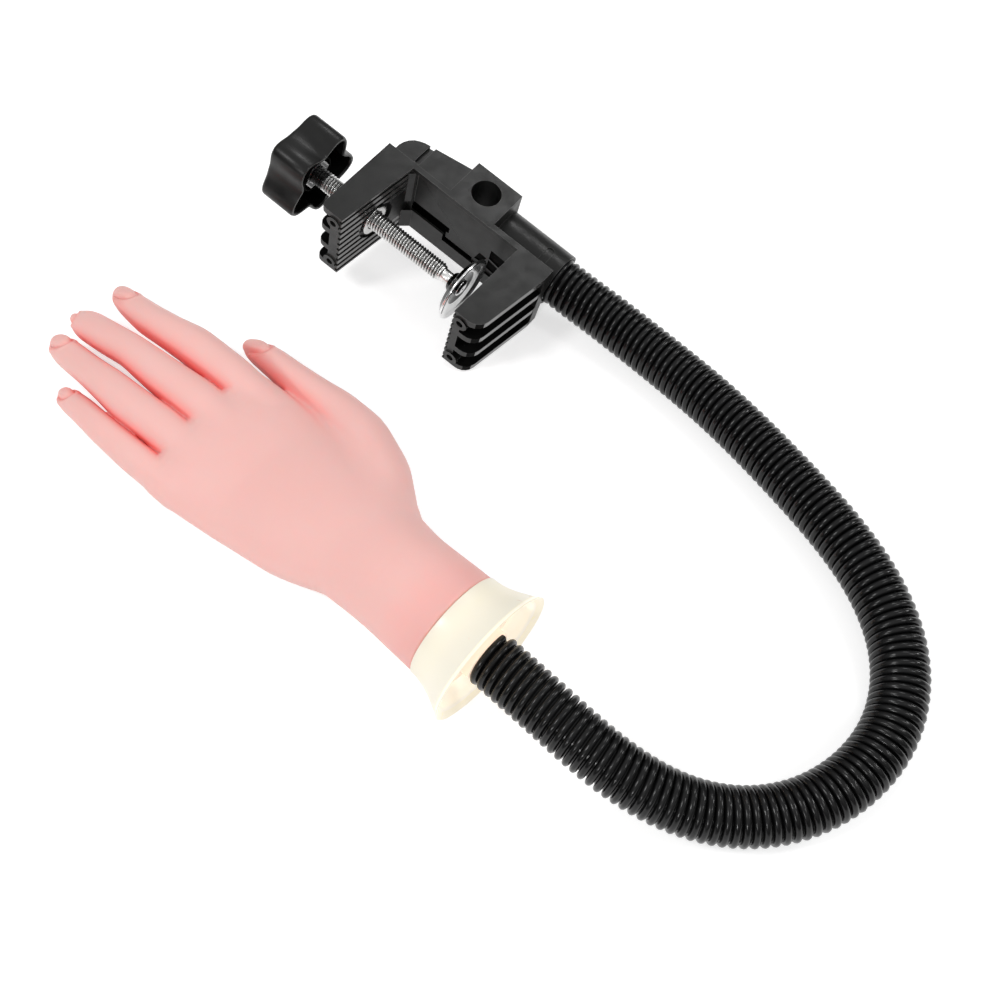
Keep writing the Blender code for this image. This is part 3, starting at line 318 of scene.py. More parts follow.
def rigid(origin, x_axis, y_axis):
    """A matrix from an origin and two axes at right angles."""
    x_axis, y_axis = Vector(x_axis).normalized(), Vector(y_axis).normalized()
    turn = Matrix((x_axis, y_axis, x_axis.cross(y_axis))).transposed().to_4x4()
    return Matrix.Translation(Vector(origin)) @ turn


PAD_AXES = rigid(joints["screw_spin"]["pos_m"], joints["screw_spin"]["axis"], (0, 1, 0))
CLAMP_AXES = PAD_AXES @ Matrix.Translation((-PAD_FACE, -SPINDLE_RISE, 0))
HAND_FORWARD = Vector(joints["hand_swivel"]["axis"]).normalized()
HAND_AXES = rigid(joints["hand_swivel"]["pos_m"], HAND_FORWARD,
                  Vector((0, 0, 1)).cross(HAND_FORWARD))


def transformed(points, matrix):
    """Points of an array, moved by a matrix."""
    table = np.array(matrix)
    return np.asarray(points, float) @ table[:3, :3].T + table[:3, 3]


def placed(name, data):
    """An object of the given data, in the scene."""
    item = bpy.data.objects.new(name, data)
    bpy.context.scene.collection.objects.link(item)
    return item


def mesh_piece(name, points, faces, material, smooth_angle=40):
    """A mesh object of points and faces, shaded smooth up to an angle in degrees."""
    mesh = bpy.data.meshes.new(name)
    mesh.from_pydata(np.asarray(points).tolist(), [], [tuple(face) for face in faces])
    build = bmesh.new()
    build.from_mesh(mesh)
    bmesh.ops.recalc_face_normals(build, faces=build.faces)
    build.to_mesh(mesh)
    build.free()
    mesh.shade_smooth()
    mesh.set_sharp_from_angle(angle=math.radians(smooth_angle))
    mesh.materials.append(material)
    return placed(name, mesh)


def ring_faces(rows, sides, closed=False, first=0):
    """Quads between consecutive rings of points, with two end caps unless the rings close."""
    faces = []
    for row in range(rows if closed else rows - 1):
        after = (row + 1) % rows
        for side in range(sides):
            ahead = (side + 1) % sides
            faces.append((first + row * sides + side, first + row * sides + ahead,
                          first + after * sides + ahead, first + after * sides + side))
    if not closed:
        faces.append(tuple(first + side for side in range(sides))[::-1])
        faces.append(tuple(first + (rows - 1) * sides + side for side in range(sides)))
    return faces


def filleted(profile, radius, steps=3):
    """A closed profile with its corners rounded, each no further than a third of its edges."""
    corners = [Vector(corner) for corner in profile]
    rounded = []
    for index, corner in enumerate(corners):
        before, after = corners[index - 1], corners[(index + 1) % len(corners)]
        back, ahead = before - corner, after - corner
        cut = min(radius, back.length / 3, ahead.length / 3)
        start, end = corner + back.normalized() * cut, corner + ahead.normalized() * cut
        for step in range(steps + 1):
            share = step / steps
            point = start.lerp(corner, share).lerp(corner.lerp(end, share), share)
            rounded.append(tuple(point))
    return rounded


def set_mark(piece, name, values):
    """A number at each point of a piece, for its material."""
    mark = piece.data.attributes.new(name, "FLOAT", "POINT")
    mark.data.foreach_set("value", np.asarray(values, dtype=np.float32))


def rings(profile, sides, rise=0.0):
    """Rings of points round the x axis, one for each place along it and radius."""
    angles = np.arange(sides) * math.tau / sides
    return np.concatenate([np.stack([np.full(sides, place), rise + radius * np.cos(angles),
                                     radius * np.sin(angles)], axis=1)
                           for place, radius in profile])


def lathe(name, profile, axes, material, sides=LATHE_SIDES, smooth_angle=40):
    """A closed profile of places along the x axis and radii, turned round it."""
    return mesh_piece(name, transformed(rings(profile, sides), axes),
                      ring_faces(len(profile), sides, True), material, smooth_angle)


# Materials


def add_node(tree, kind, inputs=None, **settings):
    """A shader node with settings, and values for its named inputs."""
    made = tree.nodes.new(kind)
    for key, value in settings.items():
        setattr(made, key, value)
    for socket, value in (inputs or {}).items():
        made.inputs[socket].default_value = value
    return made


class Finish:
    """A Principled material whose colour, roughness and surface vary by noise."""

    def __init__(self, name, colour, roughness, metallic=0.0, **sockets):
        self.material = bpy.data.materials.new(name)
        self.material.use_nodes = True
        self.material.diffuse_color = (*colour, 1.0)
        self.tree = self.material.node_tree
        self.shader = self.tree.nodes["Principled BSDF"]
        self.colour = colour
        sockets.update(Base_Color=(*colour, 1.0), Roughness=roughness, Metallic=metallic)
        for socket, value in sockets.items():
            self.shader.inputs[socket.replace("_", " ")].default_value = value
        self.place = self.tree.nodes.new("ShaderNodeTexCoord").outputs["Object"]
        self.base = None
        self.height = None

    def node(self, kind, inputs=None, **settings):
        return add_node(self.tree, kind, inputs, **settings)

    def link(self, start, end):
        self.tree.links.new(start, end)

    def noise(self, scale, detail=4.0, stretch=None):
        """Noise in the object's space, with features of about 1/scale metres."""
        made = self.node("ShaderNodeTexNoise", {"Scale": scale, "Detail": detail})
        place = self.place
        if stretch:
            mapping = self.node("ShaderNodeMapping", {"Scale": stretch})
            self.link(place, mapping.inputs["Vector"])
            place = mapping.outputs["Vector"]
        self.link(place, made.inputs["Vector"])
        return made.outputs["Fac"]

    def ranged(self, value, low, high, to_low, to_high):
        made = self.node("ShaderNodeMapRange", {"From Min": low, "From Max": high,
                                                "To Min": to_low, "To Max": to_high})
        self.link(value, made.inputs["Value"])
        return made.outputs["Result"]

    def tint(self, factor, other):
        """Mix another colour over the base by a factor."""
        mix = self.node("ShaderNodeMix", data_type="RGBA")
        mix.inputs["A"].default_value = (*self.colour, 1.0)
        mix.inputs["B"].default_value = (*other, 1.0)
        if self.base:
            self.link(self.base, mix.inputs["A"])
        self.link(factor, mix.inputs["Factor"])
        self.base = mix.outputs["Result"]
        self.link(self.base, self.shader.inputs["Base Color"])
        return self

    def mottle(self, scale, other, amount):
        """Soft patches of another colour."""
        return self.tint(self.ranged(self.noise(scale), 0.35, 0.65, 0.0, amount), other)

    def uneven(self, scale, low, high, stretch=None):
        """Roughness that wanders between two values."""
        value = self.ranged(self.noise(scale, stretch=stretch), 0.3, 0.7, low, high)
        self.link(value, self.shader.inputs["Roughness"])
        return self

    def edges(self, other, radius, amount):
        """Another colour along edges, as wide as a rounding of the given radius: a painted
        highlight where edges catch the light.
        """
        rounded = self.node("ShaderNodeBevel", {"Radius": radius}, samples=6)
        facing = self.node("ShaderNodeVectorMath", operation="DOT_PRODUCT")
        self.link(rounded.outputs["Normal"], facing.inputs[0])
        self.link(self.node("ShaderNodeNewGeometry").outputs["Normal"], facing.inputs[1])
        return self.tint(self.ranged(facing.outputs["Value"], 0.99, 0.86, 0.0, amount), other)

    def painted_crevice_shade(self, other, reach, amount):
        """Painted shade: another colour where the piece hems itself in, by ambient occlusion."""
        shade = self.node("ShaderNodeAmbientOcclusion", {"Distance": reach}, samples=12,
                          only_local=True)
        return self.tint(self.ranged(shade.outputs["AO"], 0.2, 0.9, amount, 0.0), other)

    def grain(self, scale, depth, detail=3.0, stretch=None):
        """A fine bump, as deep as given in metres."""
        bump = self.node("ShaderNodeBump", {"Strength": 1.0, "Distance": depth})
        self.link(self.noise(scale, detail, stretch), bump.inputs["Height"])
        if self.height:
            self.link(self.height, bump.inputs["Normal"])
        self.height = bump.outputs["Normal"]
        self.link(self.height, self.shader.inputs["Normal"])
        return self

    def marked(self, attribute, other, amount):
        """Another colour where a mesh attribute is set."""
        mark = self.node("ShaderNodeAttribute", attribute_name=attribute)
        return self.tint(self.ranged(mark.outputs["Fac"], 0.0, 1.0, 0.0, amount), other)


def moulded(name, colour, roughness, edge):
    """Black moulded nylon, with a fine grain and its edges painted paler as a highlight."""
    made = Finish(name, colour, roughness, Specular_IOR_Level=0.30)
    made.mottle(60, tuple(c * 1.6 for c in colour), 0.7)
    made.edges(edge, 0.0004, 0.8)
    made.uneven(220, roughness * 0.85, roughness * 1.2)
    return made.grain(2600, 0.00002).material


def machined(name, colour, roughness, stretch=None, dark=False):
    """Plated or turned metal, with fine marks, and painted dark where a mesh attribute says so:
    painted shade on the thread, a painted dark reflection on the pad.
    """
    made = Finish(name, colour, roughness, 1.0)
    made.mottle(300, tuple(c * 0.72 for c in colour), 0.5)
    if dark:
        made.marked("dark", (0.012, 0.012, 0.012), 0.97)
    made.uneven(500, roughness * 0.7, roughness * 1.5, stretch)
    return made.grain(3000, 0.00001, stretch=stretch).material


# The last colour of each is a painted highlight along the edges.
CLAMP_BLACK = moulded("clamp_nylon", (0.0068, 0.0068, 0.0065), 0.36, (0.075, 0.075, 0.072))
KNOB_BLACK = moulded("knob_nylon", (0.0050, 0.0050, 0.0048), 0.33, (0.110, 0.110, 0.105))
# Ridges and fins are smoother, and shine where they are seen at a low angle; their colour is also
# painted paler than the nylon's, a painted sheen
RIB_PAINTED_SHEEN = Finish("rib_nylon_painted_sheen", (0.045, 0.045, 0.044), 0.16, Specular_IOR_Level=0.85).mottle(
    90, (0.075, 0.075, 0.073), 0.6).uneven(260, 0.12, 0.22).grain(1800, 0.00002).material
# Steel painted near black for the dark reflection its faces show, with painted glints along its
# edges
NUT_PAINTED_REFLECTION = Finish("nut_steel_painted_reflection", (0.035, 0.035, 0.036), 0.30, 1.0).mottle(
    200, (0.06, 0.06, 0.06), 0.6).edges((0.95, 0.95, 0.94), 0.0012, 1.0).uneven(
    300, 0.22, 0.36).grain(2400, 0.00001).material
# Near-black painted shade for deep moulded recesses and the knob's inside, where little light
# reaches
PAINTED_SHADE_BLACK = Finish("nylon_painted_shade", (0.0022, 0.0022, 0.0021), 0.75,
                      Specular_IOR_Level=0.04).mottle(80, (0.0035, 0.0035, 0.0034), 0.6).uneven(
    200, 0.65, 0.85).grain(1800, 0.00004).material
ZINC = machined("zinc_plate", (0.66, 0.66, 0.65), 0.20, (1.0, 6.0, 6.0))
# The thread is painted dark in its grooves and near the knob, as shade
THREAD_ZINC_PAINTED_SHADE = machined("thread_plate_painted_shade", (0.86, 0.86, 0.85), 0.26, (1.0, 6.0, 6.0), True)
CHROME = machined("chrome_plate", (0.86, 0.86, 0.87), 0.09)
# The pad is painted dark where it would mirror the black jaw, a painted reflection
PAD_CHROME_PAINTED_REFLECTION = machined("pad_plate_painted_reflection", (0.88, 0.88, 0.88), 0.14, dark=True)
STEEL = machined("plain_steel", (0.34, 0.34, 0.35), 0.38)


def skin_finish():
    """Soft pink moulded skin, redder at the nail beds, and painted redder as shade where the light
    doesn't reach, near the collar and in the grooves round the nail beds.
    """
    made = Finish("skin_soft", (0.97, 0.565, 0.525), 0.50, Subsurface_Weight=0.42,
                  Subsurface_Radius=(1.0, 0.34, 0.26), Subsurface_Scale=0.0038,
                  Specular_IOR_Level=0.25)
    made.mottle(28, (0.97, 0.53, 0.49), 0.45)
    # Painted shade on the skin near the collar
    made.marked("wrist", (0.96, 0.40, 0.37), 0.42)
    made.marked("nail_bed", (0.95, 0.50, 0.46), 0.45)
    # Painted shade in the grooves round the nail beds
    made.marked("nail_groove_shade", (0.90, 0.28, 0.25), 0.70)
    # Painted shade where the skin hems itself in
    made.painted_crevice_shade((1.0, 0.180, 0.165), 0.013, 0.92)
    made.uneven(140, 0.44, 0.58)
    return made.grain(1500, 0.00002).material


def plastic_finish(name, colour, deeper, subsurface, lit):
    """Translucent moulded plastic, with a painted glow for the light that comes through it and
    painted shade where it hems itself in.
    """
    made = Finish(name, colour, 0.32, Subsurface_Weight=subsurface,
                  Emission_Color=(*colour, 1.0), Emission_Strength=lit,
                  Subsurface_Radius=(1.0, 0.95, 0.80), Subsurface_Scale=0.0080,
                  Specular_IOR_Level=0.40)
    made.mottle(35, deeper, 0.35)
    # Painted shade where the plastic hems itself in
    made.painted_crevice_shade(deeper, 0.006, 0.7)
    made.uneven(120, 0.26, 0.40)
    return made.grain(1100, 0.00002).material


ARM_BLACK = Finish("arm_gloss", (0.0028, 0.0028, 0.0030), 0.22, Specular_IOR_Level=0.30).mottle(
    90, (0.0055, 0.0055, 0.0058), 0.8).uneven(160, 0.18, 0.27).grain(900, 0.00003).material
SKIN = skin_finish()
# Each glows with a painted light for the light that comes through it; the collar's lip and paler
# inside, and the plug, glow most
CREAM_PAINTED_GLOW = plastic_finish("collar_cream_painted_glow", (1.0, 0.94, 0.77), (1.0, 0.91, 0.72), 0.35, 0.04)
INSIDE_PAINTED_GLOW = plastic_finish("collar_inside_painted_glow", (1.0, 0.965, 0.83), (1.0, 0.94, 0.78), 0.35, 0.34)
LIP = plastic_finish("collar_lip_painted_glow", (1.0, 0.90, 0.69), (1.0, 0.86, 0.62), 0.35, 0.32)
PEACH_PAINTED_GLOW = plastic_finish("plug_peach_painted_glow", (1.0, 0.80, 0.65), (0.98, 0.70, 0.53), 0.30, 0.30)
NODE_FINISH = {"clamp_black": CLAMP_BLACK, "zinc": ZINC, "chrome": CHROME, "core_steel": STEEL,
               "arm_black": ARM_BLACK, "cream": CREAM_PAINTED_GLOW, "peach": PEACH_PAINTED_GLOW, "skin_pink": SKIN}


def finish_nodes():
    """Every node of the frame gets the detailed material of its slot."""
    for node in frame["nodes"].values():
        for slot in node.material_slots:
            key = slot.material.name.split(".")[0]
            slot.material = NODE_FINISH.get(key, STEEL)


def seat(piece, body, slot, *nodes):
    """The piece rides on its body and stands for its nodes; its slot is not used."""
    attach(piece, body)
    if nodes:
        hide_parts(*nodes)
    return piece


# Clamp


def prism(outline, low, high, axes=(0, 1, 2)):
    """Points and faces of an outline in two of the clamp's axes, drawn out along the third."""
    points = np.zeros((2, len(outline), 3))
    points[:, :, axes[:2]] = np.array(outline)
    points[0, :, axes[2]] = low
    points[1, :, axes[2]] = high
    return transformed(points.reshape(-1, 3), CLAMP_AXES), ring_faces(2, len(outline))


def slab(along, out, up):
    """A block between two places along each of the clamp's axes."""
    outline = [(along[0], out[0]), (along[1], out[0]), (along[1], out[1]), (along[0], out[1])]
    return prism(outline, up[0], up[1])


def rod(start, end, radius, rise, sides, inner):
    """A tube along the clamp's x axis, or a rod where there is no inner radius."""
    profile = [(start, radius), (end, radius)]
    if inner:
        profile += [(end, inner), (start, inner)]
    return (transformed(rings(profile, sides, rise), CLAMP_AXES),
            ring_faces(len(profile), sides, bool(inner)))


def carve(piece, steps):
    """Add and take away solids, then keep the result as the piece's own mesh."""
    helpers = []
    for operation, (points, faces) in steps:
        helper = mesh_piece("helper", points, faces, CLAMP_BLACK)
        modifier = piece.modifiers.new("carve", "BOOLEAN")
        modifier.operation = operation
        modifier.solver = "EXACT"
        modifier.object = helper
        helpers.append(helper)
    depsgraph = bpy.context.evaluated_depsgraph_get()
    mesh = bpy.data.meshes.new_from_object(piece.evaluated_get(depsgraph))
    piece.modifiers.clear()
    piece.data = mesh
    for helper in helpers:
        bpy.data.meshes.remove(helper.data)


def jaw_face(out):
    """Place of the driven jaw's gripping face at a place out of the spine."""
    share = (-out - SPINE_WALL) / (JAW_REACH - SPINE_WALL)
    return DRIVEN_JAW_ROOT + (DRIVEN_JAW_TIP - DRIVEN_JAW_ROOT) * share


def frame_steps():
    """What the frame has beyond its solid, and what is cut deeper than there."""
    wall = [(jaw_face(out) - depth, out)
            for out, depth in ((-SPINE_WALL, PROUD), (PLAIN_WALL_END, PROUD),
                               (PLAIN_WALL_END, PLAIN_WALL_DEPTH), (-SPINE_WALL, PLAIN_WALL_DEPTH))]
    steps = [("UNION", prism(HOUSING, -HOUSING_TOP, HOUSING_TOP))]
    (left, low), (right, high) = HOUSING_GROOVE
    steps.append(("DIFFERENCE", slab((left, right), (low, high),
                                     (HOUSING_TOP - GROOVE_DROP, HOUSING_TOP + MM))))
    steps.append(("UNION", prism(wall, -PLAIN_WALL_TOP, PLAIN_WALL_TOP)))
    steps.append(("DIFFERENCE", rod(JAW_RECESS_FLOOR, DRIVEN_JAW_ROOT + 2 * MM,
                                    JAW_RECESS_RADIUS, SPINDLE_RISE, RECESS_SIDES, None)))
    along, up = OLD_SLOT
    steps.append(("UNION", slab(along, (CHANNEL_FLOOR, SLOT_FLOOR), up)))
    for along, up in SLOTS:
        well = (up[0] - SLOT_WELL, up[1])
        steps.append(("DIFFERENCE", slab(along, (CHANNEL_FLOOR, SLOT_FLOOR), well)))
    steps.append(("UNION", prism(CORNER, -FRAME_HALF, SLOTS[0][1][0])))
    shifted = [(along - CORNER_STEP / 2, out + CORNER_STEP) for along, out in CORNER]
    steps.append(("UNION", prism(shifted, SLOTS[0][1][1], FRAME_HALF - CHANNEL_RIM)))
    along, up = OLD_WINDOW
    steps.append(("UNION", slab(along, (CHANNEL_FLOOR, WINDOW_BACKING), up)))
    for outline in WINDOWS:
        steps.append(("DIFFERENCE", prism(outline, CHANNEL_FLOOR - 2 * MM, WINDOW_FLOOR,
                                          (0, 2, 1))))
    for index in range(FIN_GAPS):
        low = index * FIN_PITCH + FIN_THICKNESS - FRAME_HALF
        steps.append(("DIFFERENCE", slab((FIN_FLOOR, FIXED_FACE_TIP + FIXED_PLATE + MM / 2),
                                         (-JAW_REACH - MM, -FIN_ROOT),
                                         (low, low + FIN_PITCH - FIN_THICKNESS))))
    angles = np.arange(RECESS_SIDES // 2) * math.tau / (RECESS_SIDES // 2)
    circle = np.stack([np.cos(angles), np.sin(angles)], axis=1)
    for side in (-1, 1):
        centre = np.array([TIP_BOSS_PLACE, side * TIP_BOSS_HEIGHT])
        steps.append(("UNION", prism(centre + TIP_BOSS_RADIUS * circle, *TIP_BOSS_SPAN,
                                     (0, 2, 1))))
        steps.append(("DIFFERENCE", prism(centre + TIP_HOLE_RADIUS * circle, -JAW_REACH - MM,
                                          TIP_HOLE_END, (0, 2, 1))))
    inner, outer = SOCKET_LINING
    steps.append(("UNION", rod(FIXED_FACE, FRAME_LENGTH - MM, outer, SOCKET_RISE, SOCKET_SIDES,
                               inner)))
    return steps


def in_recess(place):
    """Whether a place in the clamp's axes is inside a slot, a window or a jaw's pocket, where the
    frame is painted in shade.
    """
    along, out, up = place
    windows = [tuple((min(side), max(side)) for side in zip(*outline)) for outline in WINDOWS]
    for (start, end), (low, high) in [*SLOTS, *windows]:
        if start - MM < along < end + MM and low - SLOT_WELL - MM / 5 < up < high + MM / 5:
            if out > CHANNEL_FLOOR + MM / 10:
                return True
    if out > -FIN_ROOT + MM / 10 or abs(up) > HOUSING_TOP:
        return False
    driven = -MM < along < DRIVEN_JAW_TIP - DRIVEN_PLATE + MM / 10
    fixed = along > FIN_FLOOR - MM / 10
    return driven or fixed


def is_rib(place):
    """Whether a place is on the driven jaw's ridges or on the fixed jaw's outer fins."""
    along, out, _ = place
    ridge = out < PLAIN_WALL_END and abs(along - jaw_face(out)) < MM / 5
    fin = out < -FIN_ROOT and along > FIXED_FACE_TIP + FIXED_PLATE + MM / 2
    return ridge or fin


def build_clamp_frame():
    """The moulded frame with its edges broken, as a mould leaves them, painted shade in its
    recesses and a painted sheen on its ridges and fins.
    """
    source = frame["nodes"]["clamp_frame"].data
    build = bmesh.new()
    build.from_mesh(source)
    bmesh.ops.remove_doubles(build, verts=build.verts, dist=WELD)
    points = [tuple(vertex.co) for vertex in build.verts]
    build.verts.index_update()
    faces = [tuple(vertex.index for vertex in face.verts) for face in build.faces]
    build.free()
    piece = mesh_piece("clamp_casting", points, faces, CLAMP_BLACK, 30)
    carve(piece, frame_steps())
    mesh = piece.data
    mesh.materials.clear()
    for material in (CLAMP_BLACK, PAINTED_SHADE_BLACK, RIB_PAINTED_SHEEN):
        mesh.materials.append(material)
    build = bmesh.new()
    build.from_mesh(mesh)
    bmesh.ops.remove_doubles(build, verts=build.verts, dist=WELD)
    bmesh.ops.dissolve_limit(build, angle_limit=FLAT_ANGLE, verts=build.verts,
                             edges=build.edges)
    into_clamp = CLAMP_AXES.inverted()
    for face in build.faces:
        place = into_clamp @ face.calc_center_median()
        normal = into_clamp.to_3x3() @ face.normal
        ends = abs(normal.x) > 0.9 and (place.x < MM / 5 or place.x > FRAME_LENGTH - 4.5 * MM)
        # Faces deep in slots, windows and pockets are painted near black as shade
        shade_painted = in_recess(place) and (place.y > -SPINE_WALL
                                         or not ends and abs(normal.y) < 0.9)
        face.material_index = 1 if shade_painted else 0
        # Ridges and fins take the paler colour of a painted sheen
        if normal.x > 0.95 and is_rib(place):
            face.material_index = 2
    build.to_mesh(mesh)
    build.free()
    mesh.shade_smooth()
    mesh.set_sharp_from_angle(angle=math.radians(30))
    bevel = piece.modifiers.new("edges", "BEVEL")
    bevel.width = FRAME_EDGE
    bevel.segments = 2
    bevel.limit_method = "ANGLE"
    bevel.angle_limit = math.radians(35)
    bevel.use_clamp_overlap = True
    bevel.harden_normals = True
    bevel.material = 0
    seat(piece, "clamp", "clamp_black", "clamp_frame")


def build_bush():
    """The threaded bush in the driven jaw."""
    axes = CLAMP_AXES @ Matrix.Translation((0, SPINDLE_RISE, 0))
    bore = THREAD_RADIUS + GAP
    end = BUSH_SEAT + BUSH_FLANGE
    profile = [(0, bore), (0, BUSH_RADIUS), (BUSH_SEAT, BUSH_RADIUS),
               (BUSH_SEAT, BUSH_FLANGE_RADIUS), (end, BUSH_FLANGE_RADIUS), (end, bore)]
    piece = lathe("jaw_bush", filleted(profile, MM / 4), axes, ZINC)
    seat(piece, "clamp", "zinc", "thread_insert")


def build_spindle():
    """The threaded spindle: a helical thread, a shoulder and the turned-down neck."""
    angles = np.arange(THREAD_SIDES) * math.tau / THREAD_SIDES
    count = math.ceil((THREAD_END - SCREW_BACK) / THREAD_PITCH * THREAD_STEPS)
    profile, root_shade = [], []
    for step in range(count + 1):
        place = SCREW_BACK + (THREAD_END - SCREW_BACK) * step / count
        phase = (place / THREAD_PITCH - angles / math.tau) % 1.0
        tooth = np.clip(np.abs(phase * 2 - 1) * THREAD_STEEPNESS - THREAD_ROOT_FLAT, 0.0, 1.0)
        fade = min(1.0, (THREAD_END - place) / THREAD_PITCH, (place - SCREW_BACK) / THREAD_PITCH)
        profile.append((place, THREAD_RADIUS - THREAD_DEPTH * (1 - tooth * max(0.0, fade))))
        # Painted shade: the thread's grooves are darkened, and all of it inside and just out of the
        # knob, for the knob's shadow
        shaded = place < SPINDLE_START + KNOB_SHADE
        root_shade.append(np.where(shaded, 1.0, (1 - tooth) ** THREAD_SHADE_POWER * max(0.0, fade)))
    shoulder = THREAD_RADIUS - THREAD_DEPTH - NECK_RADIUS
    neck = [(THREAD_END + shoulder * 0.8, NECK_RADIUS + shoulder * 0.2),
            (THREAD_END + shoulder, NECK_RADIUS), (NECK_END, NECK_RADIUS)]
    profile += neck
    root_shade.append(np.zeros(THREAD_SIDES * len(neck)))
    piece = mesh_piece("spindle_thread", transformed(rings(profile, THREAD_SIDES), PAD_AXES),
                       ring_faces(len(profile), THREAD_SIDES), THREAD_ZINC_PAINTED_SHADE, 60)
    set_mark(piece, "dark", np.concatenate(root_shade))
    seat(piece, "spindle", "zinc", "clamp_screw")


def knob_radius(angles, radius, notch_radius, power):
    """Lobes and the hollows between them, as a wave of the radius round the axis."""
    wave = ((1 + np.cos((angles - KNOB_TURN) * KNOB_LOBES)) / 2) ** power
    return notch_radius + (radius - notch_radius) * wave


def build_knob():
    """The hollow star knob, open towards the jaw, with its hub and nut."""
    sides = KNOB_LOBES * KNOB_POINTS_PER_LOBE
    angles = np.arange(sides) * math.tau / sides
    wall = KNOB_WALL
    ceiling = KNOB_BACK + KNOB_TOP
    hub_face = SPINDLE_START - KNOB_HUB_RECESS
    dome = 0.5 * MM
    # Places along the axis, and how far the surface lies inside the outline there
    sections = [(KNOB_BACK + dome * 0.6, 0.012), (KNOB_BACK + dome * 0.1, 0.006),
                (KNOB_BACK, 0.0022)]
    for turn in np.linspace(math.pi / 2, 0, 5):
        sections.append((KNOB_BACK + 2 * KNOB_EDGE * (1 - math.sin(turn)),
                         2 * KNOB_EDGE * (1 - math.cos(turn))))
    for turn in np.linspace(0, math.pi, 4):
        sections.append((SPINDLE_START - wall / 2 + wall / 2 * math.sin(turn),
                         wall / 2 * (1 - math.cos(turn))))
    sections += [(ceiling + MM, wall), (ceiling, wall + MM)]
    profile = []
    for place, inset in sections:
        share = (place - KNOB_BACK) / KNOB_LENGTH
        notch = KNOB_REAR_NOTCH_RADIUS + (KNOB_NOTCH_RADIUS - KNOB_REAR_NOTCH_RADIUS) * share
        power = KNOB_REAR_POWER + (KNOB_LOBE_POWER - KNOB_REAR_POWER) * share
        radius = knob_radius(angles, KNOB_RADIUS, notch, power) - inset
        profile.append((place, np.maximum(radius, KNOB_CENTRE_RADIUS)))
    profile += [(ceiling, KNOB_HUB_RADIUS + MM / 2), (ceiling + MM / 2, KNOB_HUB_RADIUS),
                (hub_face - MM / 3, KNOB_HUB_RADIUS), (hub_face, KNOB_HUB_RADIUS - MM / 3),
                (hub_face, NUT_RADIUS + GAP), (hub_face - NUT_LENGTH, NUT_RADIUS + GAP)]
    piece = mesh_piece("star_knob_cap", transformed(rings(profile, sides), PAD_AXES),
                       ring_faces(len(profile), sides), KNOB_BLACK, 50)
    # Faces inside the knob take the near-black painted shade
    piece.data.materials.append(PAINTED_SHADE_BLACK)
    outside = len(sections) - 3
    for index, face in enumerate(piece.data.polygons):
        face.material_index = int(index >= outside * sides and len(face.vertices) == 4)
    seat(piece, "spindle", "clamp_black", "star_knob")

    nut = [(hub_face - NUT_LENGTH, THREAD_RADIUS + GAP), (hub_face - NUT_LENGTH, NUT_RADIUS - GAP),
           (hub_face, NUT_RADIUS - GAP), (hub_face, THREAD_RADIUS + GAP)]
    piece = lathe("knob_hex_nut", filleted(nut, MM / 3, 2), PAD_AXES, NUT_PAINTED_REFLECTION, sides=6,
                  smooth_angle=20)
    seat(piece, "spindle", "zinc", "knob_nut")


def build_pad():
    """The dished pressure pad and the riveted end of the spindle that holds it."""
    slope_radius = PAD_RADIUS * PAD_DISH_SHARE
    ring = [(-PAD_DISH + (PAD_DISH - MM) * share, RIVET_RADIUS + MM
             + (slope_radius - RIVET_RADIUS - MM) * share) for share in PAD_RING_SHARES]
    profile = [(-PAD_DISH, PAD_BORE), (-PAD_DISH, RIVET_RADIUS + MM), *ring, (-MM, slope_radius),
               (0, PAD_RADIUS - MM / 3), (-MM / 3, PAD_RADIUS), (-MM, PAD_RADIUS),
               (-1.2 * MM, PAD_RADIUS - MM / 3), (PAD_BACK + MM / 2, slope_radius),
               (PAD_BACK, PAD_HUB_RADIUS + MM), (PAD_BACK - MM, PAD_HUB_RADIUS - MM / 2),
               (HUB_BACK, PAD_BORE + MM), (HUB_BACK, PAD_BORE)]
    profile = filleted(profile, MM / 2, 4)
    piece = lathe("pressure_pad", profile, PAD_AXES, PAD_CHROME_PAINTED_REFLECTION)
    rim = max(range(len(profile)), key=lambda index: profile[index][1])
    # Painted reflection of the black jaw: a dark ring on the face, and a dark back inside a bright
    # rim
    dark = [PAD_BORE < radius < (ring[0][1] + ring[1][1]) / 2 if index <= rim
            else radius < PAD_RADIUS - MM / 5 for index, (_, radius) in enumerate(profile)]
    set_mark(piece, "dark", np.repeat(np.array(dark, float), LATHE_SIDES))
    seat(piece, "pad", "chrome", "swivel_pad")
    tip = -PAD_DISH + GAP + RIVET_HEAD
    head = -PAD_DISH + GAP
    rivet = [(NECK_END + GAP, 0.0002), (NECK_END + GAP, RIVET_SHANK), (head, RIVET_SHANK),
             (head, RIVET_RADIUS), (head + RIVET_HEAD / 2, RIVET_RADIUS),
             (tip, RIVET_RADIUS * 0.6), (tip, 0.0002)]
    piece = lathe("riveted_end", filleted(rivet, MM / 3), PAD_AXES, CHROME, sides=64)
    seat(piece, "pad_carrier", "chrome", "pad_rivet")


# Arm


def smooth_step(share):
    """A share that starts and ends level."""
    share = np.clip(share, 0.0, 1.0)
    return share * share * (3 - 2 * share)


